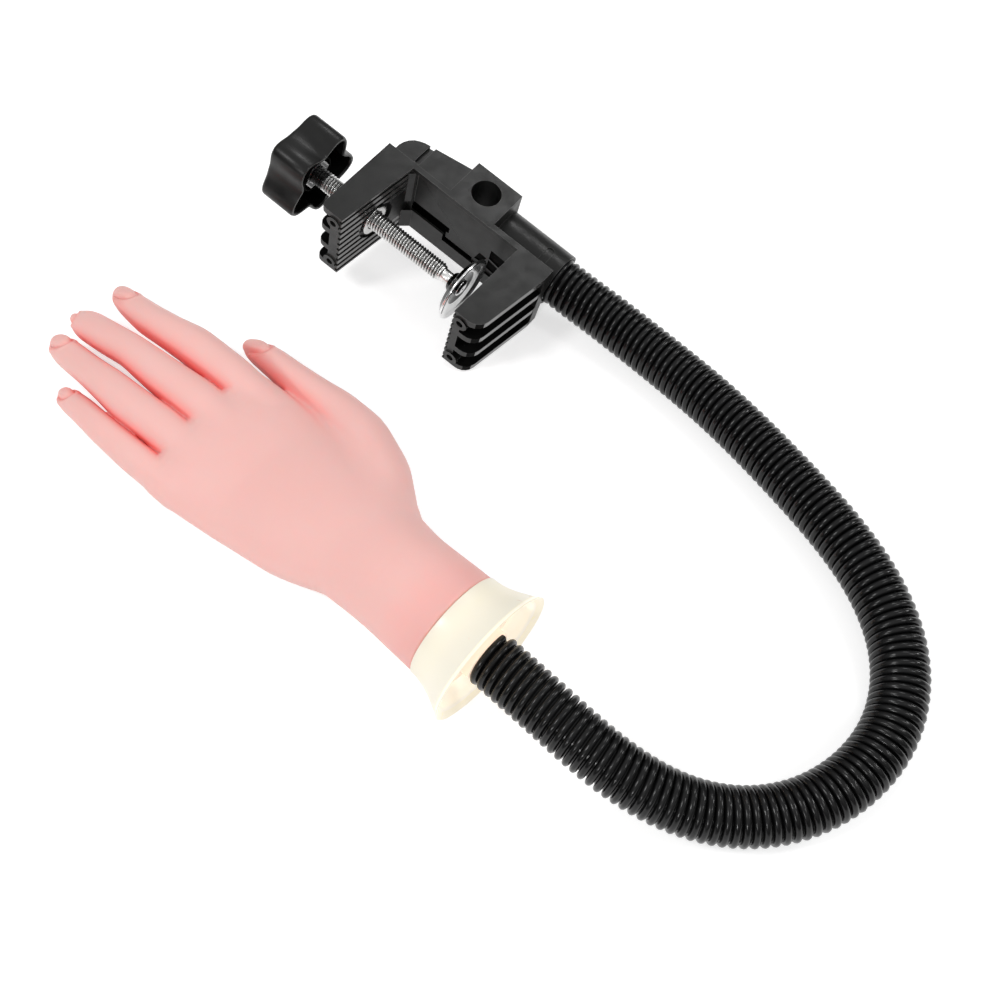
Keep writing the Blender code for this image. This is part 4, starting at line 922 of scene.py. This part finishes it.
class ArmRoute:
    """The arm's middle line, from the socket's mouth to the wrist."""

    def __init__(self):
        self.start = np.array(CLAMP_AXES @ Vector((FRAME_LENGTH, SOCKET_RISE, 0)))
        self.end_height = joints["hand_swivel"]["pos_m"][2]
        height = self.start[2]
        drop = (height - ARM_RADIUS) * FRAME_TILT / (1 - math.cos(FRAME_TILT))
        self.drop_share = drop / ARM_LENGTH
        shares = (np.arange(PATH_STEPS) + 1 / 2) / PATH_STEPS
        low, high = 0.0, math.pi / 4
        for _ in range(BISECTIONS):
            self.peak = (low + high) / 2
            rise = np.sin(self.slope(shares)).sum() * ARM_LENGTH / PATH_STEPS
            if height + rise < self.end_height:
                low = self.peak
            else:
                high = self.peak
        steps = self.direction(shares) * ARM_LENGTH / PATH_STEPS
        self.points = self.start + np.concatenate([np.zeros((1, 3)), np.cumsum(steps, axis=0)])

    def slope(self, shares):
        """Down to the surface, then up to the wrist."""
        local = (shares - (1 - HAND_RISE_SHARE)) / HAND_RISE_SHARE
        bump = np.sin(math.pi * np.clip(local, 0.0, 1.0)) ** 2
        rise = self.peak * bump + END_SLOPE * smooth_step(local * 2 - 1)
        fall = FRAME_TILT * np.maximum(0, 1 - shares / self.drop_share)
        return np.where(local > 0, rise, 0) - fall

    def direction(self, shares):
        """Unit vectors along the arm."""
        shares = np.clip(shares, 0.0, 1.0)
        places, degrees = zip(*HEADING_SHARES)
        heading = np.radians(np.interp(shares, places, degrees))
        slope = self.slope(shares)
        flat = np.cos(slope)
        return np.stack([np.cos(heading) * flat, np.sin(heading) * flat, np.sin(slope)], axis=1)

    def frames(self, places):
        """Centres, tangents, level sideways and upward directions at lengths along the arm."""
        shares = places / ARM_LENGTH
        tangents = self.direction(shares)
        exact = np.clip(shares, 0.0, 1.0) * PATH_STEPS
        centres = np.stack([np.interp(exact, np.arange(PATH_STEPS + 1), self.points[:, axis])
                            for axis in range(3)], axis=1)
        centres += tangents * (places - np.clip(places, 0.0, ARM_LENGTH))[:, None]
        sideways = np.cross((0, 0, 1), tangents)
        sideways /= np.linalg.norm(sideways, axis=1)[:, None]
        return centres, tangents, sideways, np.cross(tangents, sideways)


def swept(centres, first, second, reach, sides):
    """Rings of points round centres, with a reach along each of two directions."""
    rounds = np.arange(sides) * math.tau / sides
    loops = (centres[:, None, :]
             + first[:, None, :] * (reach[0] * np.cos(rounds))[None, :, None]
             + second[:, None, :] * (reach[1] * np.sin(rounds))[None, :, None])
    return loops.reshape(-1, 3)


def ribbed_length(name, route, start, end):
    """A length of the ribbed arm: one helical rib over a dark tube."""
    helix = ARM_RADIUS - RIB_HALF_HEIGHT
    count = math.ceil((end - start) / RIB_PITCH * RIB_STEPS)
    places = np.linspace(start, end, count + 1)
    centres, tangents, sideways, upward = route.frames(places)
    turns = (places + ARM_IN_SOCKET) / RIB_PITCH * math.tau
    outward = sideways * np.cos(turns)[:, None] + upward * np.sin(turns)[:, None]
    middle = centres + outward * helix
    along = np.gradient(middle, axis=0)
    along /= np.linalg.norm(along, axis=1)[:, None]
    rib = swept(middle, outward, np.cross(along, outward), (RIB_HALF_HEIGHT, RIB_HALF_WIDTH),
                RIB_SIDES)
    faces = ring_faces(len(places), RIB_SIDES)

    places = np.linspace(start, end, math.ceil((end - start) / TUBE_STEP) + 1)
    centres, _, sideways, upward = route.frames(places)
    tube = swept(centres, sideways, upward, (TUBE_RADIUS, TUBE_RADIUS), TUBE_SIDES)
    faces += ring_faces(len(places), TUBE_SIDES, first=len(rib))
    return mesh_piece(name, np.concatenate([rib, tube]), faces, ARM_BLACK, 70)


def build_arm():
    """The arm in lengths from joint to joint: the first rides on the clamp and the last on the
    arm's end, while those between stay where they are made.
    """
    route = ArmRoute()
    half = ARM_SPACING / 2
    piece = ribbed_length("arm_sleeve_01", route, -ARM_IN_SOCKET, half)
    seat(piece, "clamp", "arm_black", "hose_01")
    for index in range(1, ARM_LENGTHS):
        low, high = index * ARM_SPACING - half, index * ARM_SPACING + half
        piece = ribbed_length(f"arm_sleeve_{index + 1:02d}", route, low, high)
        ends = route.frames(np.array([low, high]))[0]
        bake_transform(piece)
        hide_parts(f"hose_{index + 1:02d}")
    piece = ribbed_length("arm_sleeve_end", route, ARM_LENGTH - half, ARM_LENGTH)
    seat(piece, "arm_10", "arm_black")


# Wrist


def build_plug():
    """The peach plug, whose round boss takes the arm's end."""
    bore = STUD_RADIUS + GAP
    disc = COLLAR_NECK_RADIUS - COLLAR_WALL - GAP
    profile = [(PLUG_BOSS_START, bore), (PLUG_BOSS_START, PLUG_BOSS_RADIUS),
               (PLUG_DISC_START, PLUG_BOSS_RADIUS), (PLUG_DISC_START, disc),
               (PLUG_DISC_END, disc), (PLUG_DISC_END, PLUG_BODY_RADIUS),
               (PLUG_LENGTH, PLUG_BODY_RADIUS), (PLUG_LENGTH, bore)]
    piece = lathe("wrist_boss", filleted(profile, PLUG_EDGE, 4), HAND_AXES, PEACH_PAINTED_GLOW)
    seat(piece, "hand", "peach", "wrist_plug")


def build_collar():
    """The flared collar, with a step inside its lip."""
    length = COLLAR_END - COLLAR_START
    flare = COLLAR_RIM_RADIUS - COLLAR_NECK_RADIUS
    outer = []
    for step in range(COLLAR_STEPS + 1):
        share = step / COLLAR_STEPS
        outer.append((COLLAR_START + length * share,
                      COLLAR_RIM_RADIUS - flare * math.sin(share * math.pi / 2)))
    throat = PLUG_DISC_END + GAP
    floor = COLLAR_START + LIP_DEPTH
    spigot_inner = PLUG_BODY_RADIUS + GAP
    inner = [(place, radius - COLLAR_WALL) for place, radius in outer
             if floor + 2 * MM < place < throat - MM]
    inner.append((throat, COLLAR_NECK_RADIUS - COLLAR_WALL))
    lip = [(floor + LIP_STEP, LIP_RADIUS - LIP_STEP), (floor, LIP_RADIUS)]
    profile = [*outer, (COLLAR_END, SPIGOT_RADIUS), (SPIGOT_END, SPIGOT_RADIUS),
               (SPIGOT_END, spigot_inner), (throat, spigot_inner), *inner[::-1], *lip]
    piece = lathe("wrist_flare", filleted(profile, COLLAR_EDGE, 3), HAND_AXES, CREAM_PAINTED_GLOW, sides=144)
    # The lip and the inside take materials with a stronger painted glow
    piece.data.materials.append(LIP)
    piece.data.materials.append(INSIDE_PAINTED_GLOW)
    into_hand = HAND_AXES.inverted()
    for face in piece.data.polygons:
        place = into_hand @ face.center
        reach = math.hypot(place.y, place.z)
        share = (place.x - COLLAR_START) / length
        outside = COLLAR_RIM_RADIUS - flare * math.sin(share * math.pi / 2)
        if place.x < floor and reach < COLLAR_RIM_RADIUS - MM / 4:
            face.material_index = 1
        elif place.x < throat + MM / 10 and reach < outside - COLLAR_WALL / 2:
            face.material_index = 2
    seat(piece, "hand", "cream", "wrist_collar")


# Hand


def hand_rows(stations):
    """Stations in metres: x, y, z, half breadth and half height."""
    scale = (HAND_LENGTH, HAND_BREADTH, HAND_HEIGHT, HAND_BREADTH, HAND_HEIGHT)
    table = np.array(stations) / 1000 * np.array(scale)
    table[:, 0] += HAND_START
    return table


class Limb:
    """A smooth swollen limb through its stations, as a field of distances."""

    def __init__(self, rows):
        tip = rows[-1].copy()
        ahead = rows[-1, :3] - rows[-2, :3]
        tip[:3] += ahead / np.linalg.norm(ahead) * TIP_OVERRUN
        tip[3:] = 0
        rows = np.concatenate([rows, tip[None]])
        rows[:, 3:] = rows[:, 3:] ** 2
        gaps = np.linalg.norm(np.diff(rows[:, :3], axis=0), axis=1)
        lengths = np.concatenate([[0], np.cumsum(gaps)])
        fine = np.linspace(0, lengths[-1], LIMB_FINE)
        table = np.stack([np.interp(fine, lengths, rows[:, column]) for column in range(5)], axis=1)
        kernel = np.hanning(LIMB_SMOOTHING + 2)[1:-1]
        kernel /= kernel.sum()
        pad = LIMB_SMOOTHING // 2
        start = 2 * table[0] - table[pad:0:-1]
        end = 2 * table[-1] - table[-2:-pad - 2:-1]
        padded = np.concatenate([start, table, end])
        table = np.stack([np.convolve(padded[:, column], kernel, "valid")
                          for column in range(5)], axis=1)
        chosen = np.round(np.linspace(0, LIMB_FINE - 1, LIMB_STATIONS)).astype(int)
        self.centres = table[chosen, :3]
        self.squares = np.maximum(table[chosen, 3:], (MM / 5) ** 2)
        tangents = np.gradient(self.centres, axis=0)
        self.tangents = tangents / np.linalg.norm(tangents, axis=1)[:, None]
        reach = np.sqrt(self.squares.max()) + LIMB_MARGIN
        self.low = self.centres.min(axis=0) - reach
        self.high = self.centres.max(axis=0) + reach

    def distance(self, points):
        """Signed distance of points from the limb, true near its surface."""
        found = np.full(len(points), LIMB_MARGIN)
        near = np.all((points > self.low) & (points < self.high), axis=1)
        places = points[near]
        best = np.full(len(places), np.inf)
        index = np.zeros(len(places), int)
        share = np.zeros(len(places))
        for segment in range(LIMB_STATIONS - 1):
            ahead = self.centres[segment + 1] - self.centres[segment]
            offset = places - self.centres[segment]
            local = np.clip(offset @ ahead / (ahead @ ahead), 0.0, 1.0)
            gap = offset - local[:, None] * ahead
            square = np.einsum("ij,ij->i", gap, gap)
            better = square < best
            best[better] = square[better]
            index[better] = segment
            share[better] = local[better]
        share = share[:, None]
        centre = self.centres[index] * (1 - share) + self.centres[index + 1] * share
        along = self.tangents[index] * (1 - share) + self.tangents[index + 1] * share
        squares = self.squares[index] * (1 - share) + self.squares[index + 1] * share
        side = np.cross((0, 0, 1), along)
        side /= np.linalg.norm(side, axis=1)[:, None]
        upward = np.cross(along, side)
        offset = places - centre
        reach = np.linalg.norm(offset, axis=1)
        ratio = np.sqrt(np.einsum("ij,ij->i", offset, side) ** 2 / squares[:, 0]
                        + np.einsum("ij,ij->i", offset, upward) ** 2 / squares[:, 1]
                        + np.einsum("ij,ij->i", offset, along) ** 2 / squares.min(axis=1))
        ratio = np.maximum(ratio, 1e-4)
        found[near] = np.minimum(reach * (1 - 1 / ratio), LIMB_MARGIN)
        return found


def blended(first, second, width):
    """The union of two fields, filled in where they meet."""
    overlap = np.maximum(width - np.abs(first - second), 0) / width
    return np.minimum(first, second) - overlap * overlap * width / 4


class HandField:
    """The whole hand as one field of distances, in its own axes."""

    def __init__(self):
        palm = hand_rows(PALM_STATIONS)
        back = palm[:1].copy()
        back[:, 0] -= LIMB_MARGIN
        self.palm = Limb(np.concatenate([back, palm]))
        self.fingers = {name: Limb(hand_rows(rows)) for name, rows in FINGER_STATIONS.items()}
        self.bores = ((SPIGOT_RADIUS + GAP, SPIGOT_END + GAP),
                      (PLUG_BODY_RADIUS + 2 * GAP, PLUG_LENGTH + GAP))

    def distance(self, points):
        fingers = None
        for name in ("index", "middle", "ring", "little"):
            limb = self.fingers[name].distance(points)
            fingers = limb if fingers is None else blended(fingers, limb, FINGER_BLEND)
        field = blended(self.palm.distance(points), fingers, ROOT_BLEND)
        field = blended(field, self.fingers["thumb"].distance(points), THUMB_BLEND)
        field = np.maximum(field, HAND_START - points[:, 0])
        reach = np.hypot(points[:, 1], points[:, 2])
        for radius, end in self.bores:
            field = np.maximum(field, -np.maximum(reach - radius, points[:, 0] - end))
        return field

    def settle(self, points):
        """Points moved onto the surface, with the outward directions there."""
        probe = MM / 20
        for step in range(SETTLE_STEPS + 1):
            field = self.distance(points)
            slopes = np.stack([self.distance(points + probe * np.eye(3)[axis]) - field
                               for axis in range(3)], axis=1) / probe
            size = np.maximum(np.linalg.norm(slopes, axis=1), 0.2)
            outward = slopes / size[:, None]
            if step < SETTLE_STEPS:
                points = points - outward * np.clip(field / size, -MM, MM)[:, None]
        return points, outward


def sampled(field, axes, step):
    """The field on a grid: coarse away from the surface, exact near it."""
    sparse = [axis[COARSE_STEPS // 2::COARSE_STEPS] for axis in axes]
    coarse = field(np.stack(np.meshgrid(*sparse, indexing="ij"), axis=-1).reshape(-1, 3))
    coarse = coarse.reshape([len(axis) for axis in sparse])
    rows = [np.minimum(np.arange(len(axis)) // COARSE_STEPS, len(thin) - 1)
            for axis, thin in zip(axes, sparse)]
    values = coarse[np.ix_(*rows)]
    near = np.abs(values) < NEAR_STEPS * step
    grid = np.stack(np.meshgrid(*axes, indexing="ij"), axis=-1)
    values[near] = field(grid[near])
    return values


def surface_net(field, low, high, step):
    """Points and quads of the surface where a field crosses zero, on a regular grid."""
    axes = [np.arange(low[axis], high[axis] + step, step) for axis in range(3)]
    values = sampled(field, axes, step)
    cells = tuple(size - 1 for size in values.shape)
    total, count = np.zeros(cells + (3,)), np.zeros(cells)
    crossings = []
    for axis in range(3):
        start, end = np.delete(values, -1, axis), np.delete(values, 0, axis)
        cross = (start < 0) != (end < 0)
        share = np.where(cross, start / np.where(cross, start - end, 1), 0)
        index = np.moveaxis(np.indices(start.shape), 0, -1).astype(float)
        index[..., axis] += share
        others = [other for other in range(3) if other != axis]
        for shifts in itertools.product((0, 1), repeat=2):
            take = [slice(None)] * 3
            for other, shift in zip(others, shifts):
                take[other] = slice(shift, shift + cells[other])
            mask = cross[tuple(take)]
            total[mask] += index[tuple(take)][mask]
            count[mask] += 1
        crossings.append((cross, start < 0, others))
    used = count > 0
    number = np.full(cells, -1)
    number[used] = np.arange(used.sum())
    points = total[used] / count[used][:, None] * step + np.array(low)
    quads = []
    for axis, (cross, inside, others) in enumerate(crossings):
        one, two = others
        places = np.argwhere(cross)
        keep = (places[:, one] > 0) & (places[:, two] > 0)
        keep &= (places[:, one] < cells[one]) & (places[:, two] < cells[two])
        places = places[keep]
        corners = []
        for shift_one, shift_two in ((1, 1), (0, 1), (0, 0), (1, 0)):
            cell = places.copy()
            cell[:, one] -= shift_one
            cell[:, two] -= shift_two
            corners.append(number[cell[:, 0], cell[:, 1], cell[:, 2]])
        corners = np.stack(corners, axis=1)
        flip = inside[places[:, 0], places[:, 1], places[:, 2]] == (axis == 1)
        corners[flip] = corners[flip][:, ::-1]
        quads.append(corners)
    return points, np.concatenate(quads)


def nail_places(field):
    """For each nail bed: its middle, its directions and its half sizes."""
    found = {}
    for name, (cuticle, length, half, turn) in NAILS.items():
        limb = field.fingers[name]
        tip = limb.centres[-1]
        back = np.linalg.norm(limb.centres - tip, axis=1)
        base = limb.centres[np.argmin(np.abs(back - cuticle))]
        along = (tip - base) / np.linalg.norm(tip - base)
        side = np.cross((0, 0, 1), along)
        side /= np.linalg.norm(side)
        upward = np.cross(along, side)
        lean = math.radians(turn)
        side, upward = (side * math.cos(lean) + upward * math.sin(lean),
                        upward * math.cos(lean) - side * math.sin(lean))
        found[name] = (base + along * length / 2, along, side, upward, length / 2, half)
    return found


def nail_depths(points, nails):
    """How far points lie inside a nail bed's outline, below zero outside, and how far along it."""
    depth, reach = np.full(len(points), -1.0), np.zeros(len(points))
    for middle, along, side, upward, half_length, half in nails.values():
        offset = points - middle
        shape = (np.abs(offset @ along / half_length) ** NAIL_SQUARENESS
                 + np.abs(offset @ side / half) ** NAIL_SQUARENESS) ** (1 / NAIL_SQUARENESS)
        inside = (1 - shape) * min(half_length, half)
        rise = offset @ upward
        inside[(rise < 0) | (rise > NAIL_REACH)] = -1.0
        nearer = inside > depth
        depth[nearer] = inside[nearer]
        reach[nearer] = (offset @ along / half_length)[nearer]
    return depth, reach


def build_hand():
    """The soft hand: one smooth skin, finer round the nail beds, which are crowned in a groove."""
    field = HandField()
    limbs = [field.palm, *field.fingers.values()]
    margin = LIMB_MARGIN / 2
    low = np.min([limb.low for limb in limbs], axis=0) + margin
    high = np.max([limb.high for limb in limbs], axis=0) - margin
    low[0] = HAND_START - 2 * MM
    step = HAND_GRID
    points, quads = surface_net(field.distance, low, high, step)
    nails = nail_places(field)

    build = bmesh.new()
    verts = [build.verts.new(point) for point in points]
    for quad in quads:
        build.faces.new([verts[index] for index in quad])
    for _ in range(2):
        build.verts.ensure_lookup_table()
        places = np.array([vertex.co for vertex in build.verts])
        close = nail_depths(places, nails)[0] > -NAIL_SURROUND
        build.verts.index_update()
        edges = [edge for edge in build.edges
                 if close[edge.verts[0].index] and close[edge.verts[1].index]]
        bmesh.ops.subdivide_edges(build, edges=edges, cuts=1, use_grid_fill=True)
    build.verts.index_update()
    places = np.array([vertex.co for vertex in build.verts])
    faces = [tuple(vertex.index for vertex in face.verts) for face in build.faces]
    build.free()

    places, outward = field.settle(places)
    inside, reach = nail_depths(places, nails)
    bed = smooth_step(inside / NAIL_STEP)
    lip = np.exp(-((inside + NAIL_STEP) / NAIL_STEP) ** 2)
    groove = bed * np.exp(-((inside - NAIL_STEP) / (2 * NAIL_STEP)) ** 2)
    sunk = NAIL_LIP * lip - NAIL_DEPTH * bed - NAIL_GROOVE * groove
    fade = 1 - smooth_step((reach - 0.2) / 0.6)
    crown = NAIL_CROWN * smooth_step(inside / NAIL_CROWN_REACH)
    places += outward * (sunk * fade + crown)[:, None]
    piece = mesh_piece("hand_soft", transformed(places, HAND_AXES), faces, SKIN, 180)
    set_mark(piece, "nail_bed", bed)
    # Painted shade: in the grooves round the nail beds, and on the skin near the collar
    set_mark(piece, "nail_groove_shade", np.exp(-(inside / NAIL_STEP) ** 2) * fade)
    set_mark(piece, "wrist", smooth_step(1 - (places[:, 0] - HAND_START) / WRIST_SHADE_REACH))
    seat(piece, "hand", "skin_pink", "hand_skin")


# Stage


def show(tree, output, lit, shown):
    """One shader lights the object, and another is what the camera, gloss and glass see."""
    path = add_node(tree, "ShaderNodeLightPath")
    total = path.outputs["Is Camera Ray"]
    for name in ("Is Glossy Ray", "Is Transmission Ray"):
        larger = add_node(tree, "ShaderNodeMath", operation="MAXIMUM")
        tree.links.new(total, larger.inputs[0])
        tree.links.new(path.outputs[name], larger.inputs[1])
        total = larger.outputs[0]
    mix = add_node(tree, "ShaderNodeMixShader")
    for socket, source in enumerate((total, lit.outputs[0], shown.outputs[0])):
        tree.links.new(source, mix.inputs[socket])
    tree.links.new(mix.outputs[0], output.inputs["Surface"])
    return path


def build_floor():
    """A plain pale floor that keeps a soft shadow."""
    mesh = bpy.data.meshes.new("floor")
    mesh.from_pydata([(-FLOOR_REACH, -FLOOR_REACH, 0), (FLOOR_REACH, -FLOOR_REACH, 0),
                      (FLOOR_REACH, FLOOR_REACH, 0), (-FLOOR_REACH, FLOOR_REACH, 0)], [],
                     [(0, 1, 2, 3)])
    floor = placed("floor", mesh)
    floor.location.z = cad_box[0][2] - FLOOR_DROP
    material = bpy.data.materials.new("floor_white")
    material.use_nodes = True
    mesh.materials.append(material)
    tree = material.node_tree
    tree.nodes.clear()
    output = add_node(tree, "ShaderNodeOutputMaterial")
    diffuse = add_node(tree, "ShaderNodeBsdfDiffuse", {"Color": (0.80, 0.80, 0.80, 1.0)})
    glow = add_node(tree, "ShaderNodeEmission", {"Strength": FLOOR_GLOW})
    both = add_node(tree, "ShaderNodeAddShader")
    tree.links.new(diffuse.outputs[0], both.inputs[0])
    tree.links.new(glow.outputs[0], both.inputs[1])
    show(tree, output, diffuse, both)


def build_world():
    """Soft light from all round, and a white surround that gloss sees darker near the floor."""
    world = bpy.data.worlds.new("surround")
    world.use_nodes = True
    bpy.context.scene.world = world
    tree = world.node_tree
    tree.nodes.clear()
    output = add_node(tree, "ShaderNodeOutputWorld")
    light = add_node(tree, "ShaderNodeBackground", {"Strength": WORLD_LIGHT})
    white = add_node(tree, "ShaderNodeBackground", {"Color": (1, 1, 1, 1)})
    path = show(tree, output, light, white)
    place = add_node(tree, "ShaderNodeTexCoord")
    axes = add_node(tree, "ShaderNodeSeparateXYZ")
    tree.links.new(place.outputs["Generated"], axes.inputs[0])
    dim = add_node(tree, "ShaderNodeMapRange",
                   {"From Min": 0.10, "From Max": 0.95, "To Min": 0.16, "To Max": 0.75},
                   interpolation_type="SMOOTHSTEP")
    tree.links.new(axes.outputs["Z"], dim.inputs["Value"])
    strength = add_node(tree, "ShaderNodeMath", operation="MAXIMUM")
    tree.links.new(dim.outputs["Result"], strength.inputs[0])
    tree.links.new(path.outputs["Is Camera Ray"], strength.inputs[1])
    tree.links.new(strength.outputs[0], white.inputs["Strength"])


FLOOR_REACH = 4.0
FLOOR_DROP = 0.0002
FLOOR_GLOW = 0.55
WORLD_LIGHT = 0.58
# Lamps: azimuth and elevation in degrees, distance, breadth and height in metres, and watts
LAMPS = {
    "key_lamp": (-30, 58, 1.10, 0.20, 0.20, 2.9),
    "fill_lamp": (105, 50, 1.20, 0.20, 0.20, 1.3),
    "rim_lamp": (190, 50, 1.20, 0.30, 0.20, 1.7),
    "side_lamp": (140, 28, 1.20, 0.20, 0.12, 2.0),
    "front_lamp": (11, 29, 1.20, 0.18, 0.11, 2.5),
}


def outlook(azimuth, elevation):
    """Unit vector from the object towards an azimuth and elevation in degrees."""
    turn, rise = math.radians(azimuth), math.radians(elevation)
    return Vector((math.sin(turn) * math.cos(rise), -math.cos(turn) * math.cos(rise),
                   math.sin(rise)))


def aim(item, azimuth, elevation, distance, target):
    """Put a camera or lamp at a distance from its target, looking at it, upright."""
    back = outlook(azimuth, elevation)
    item.location = Vector(target) + back * distance
    item.rotation_euler = back.to_track_quat("Z", "Y").to_euler()


def build_lamps():
    for name, (azimuth, elevation, distance, breadth, height, watts) in LAMPS.items():
        lamp = bpy.data.lights.new(name, "AREA")
        lamp.shape = "RECTANGLE"
        lamp.size, lamp.size_y = breadth, height
        lamp.energy = watts
        aim(placed(name, lamp), azimuth, elevation, distance, CAMERA_TARGET)


def build_camera():
    camera = bpy.data.cameras.new("camera")
    camera.lens = CAMERA_LENS
    camera.sensor_width = CAMERA_SENSOR
    camera.clip_start = 0.01
    item = placed("camera", camera)
    aim(item, CAMERA_AZIMUTH, CAMERA_ELEVATION, CAMERA_DISTANCE, CAMERA_TARGET)
    bpy.context.scene.camera = item


build_camera()
build_lamps()
build_floor()
build_world()
finish_nodes()
for build_part in (build_clamp_frame, build_bush, build_spindle, build_knob, build_pad, build_arm,
                   build_plug, build_collar, build_hand):
    build_part()
bpy.context.scene.view_settings.view_transform = "Standard"
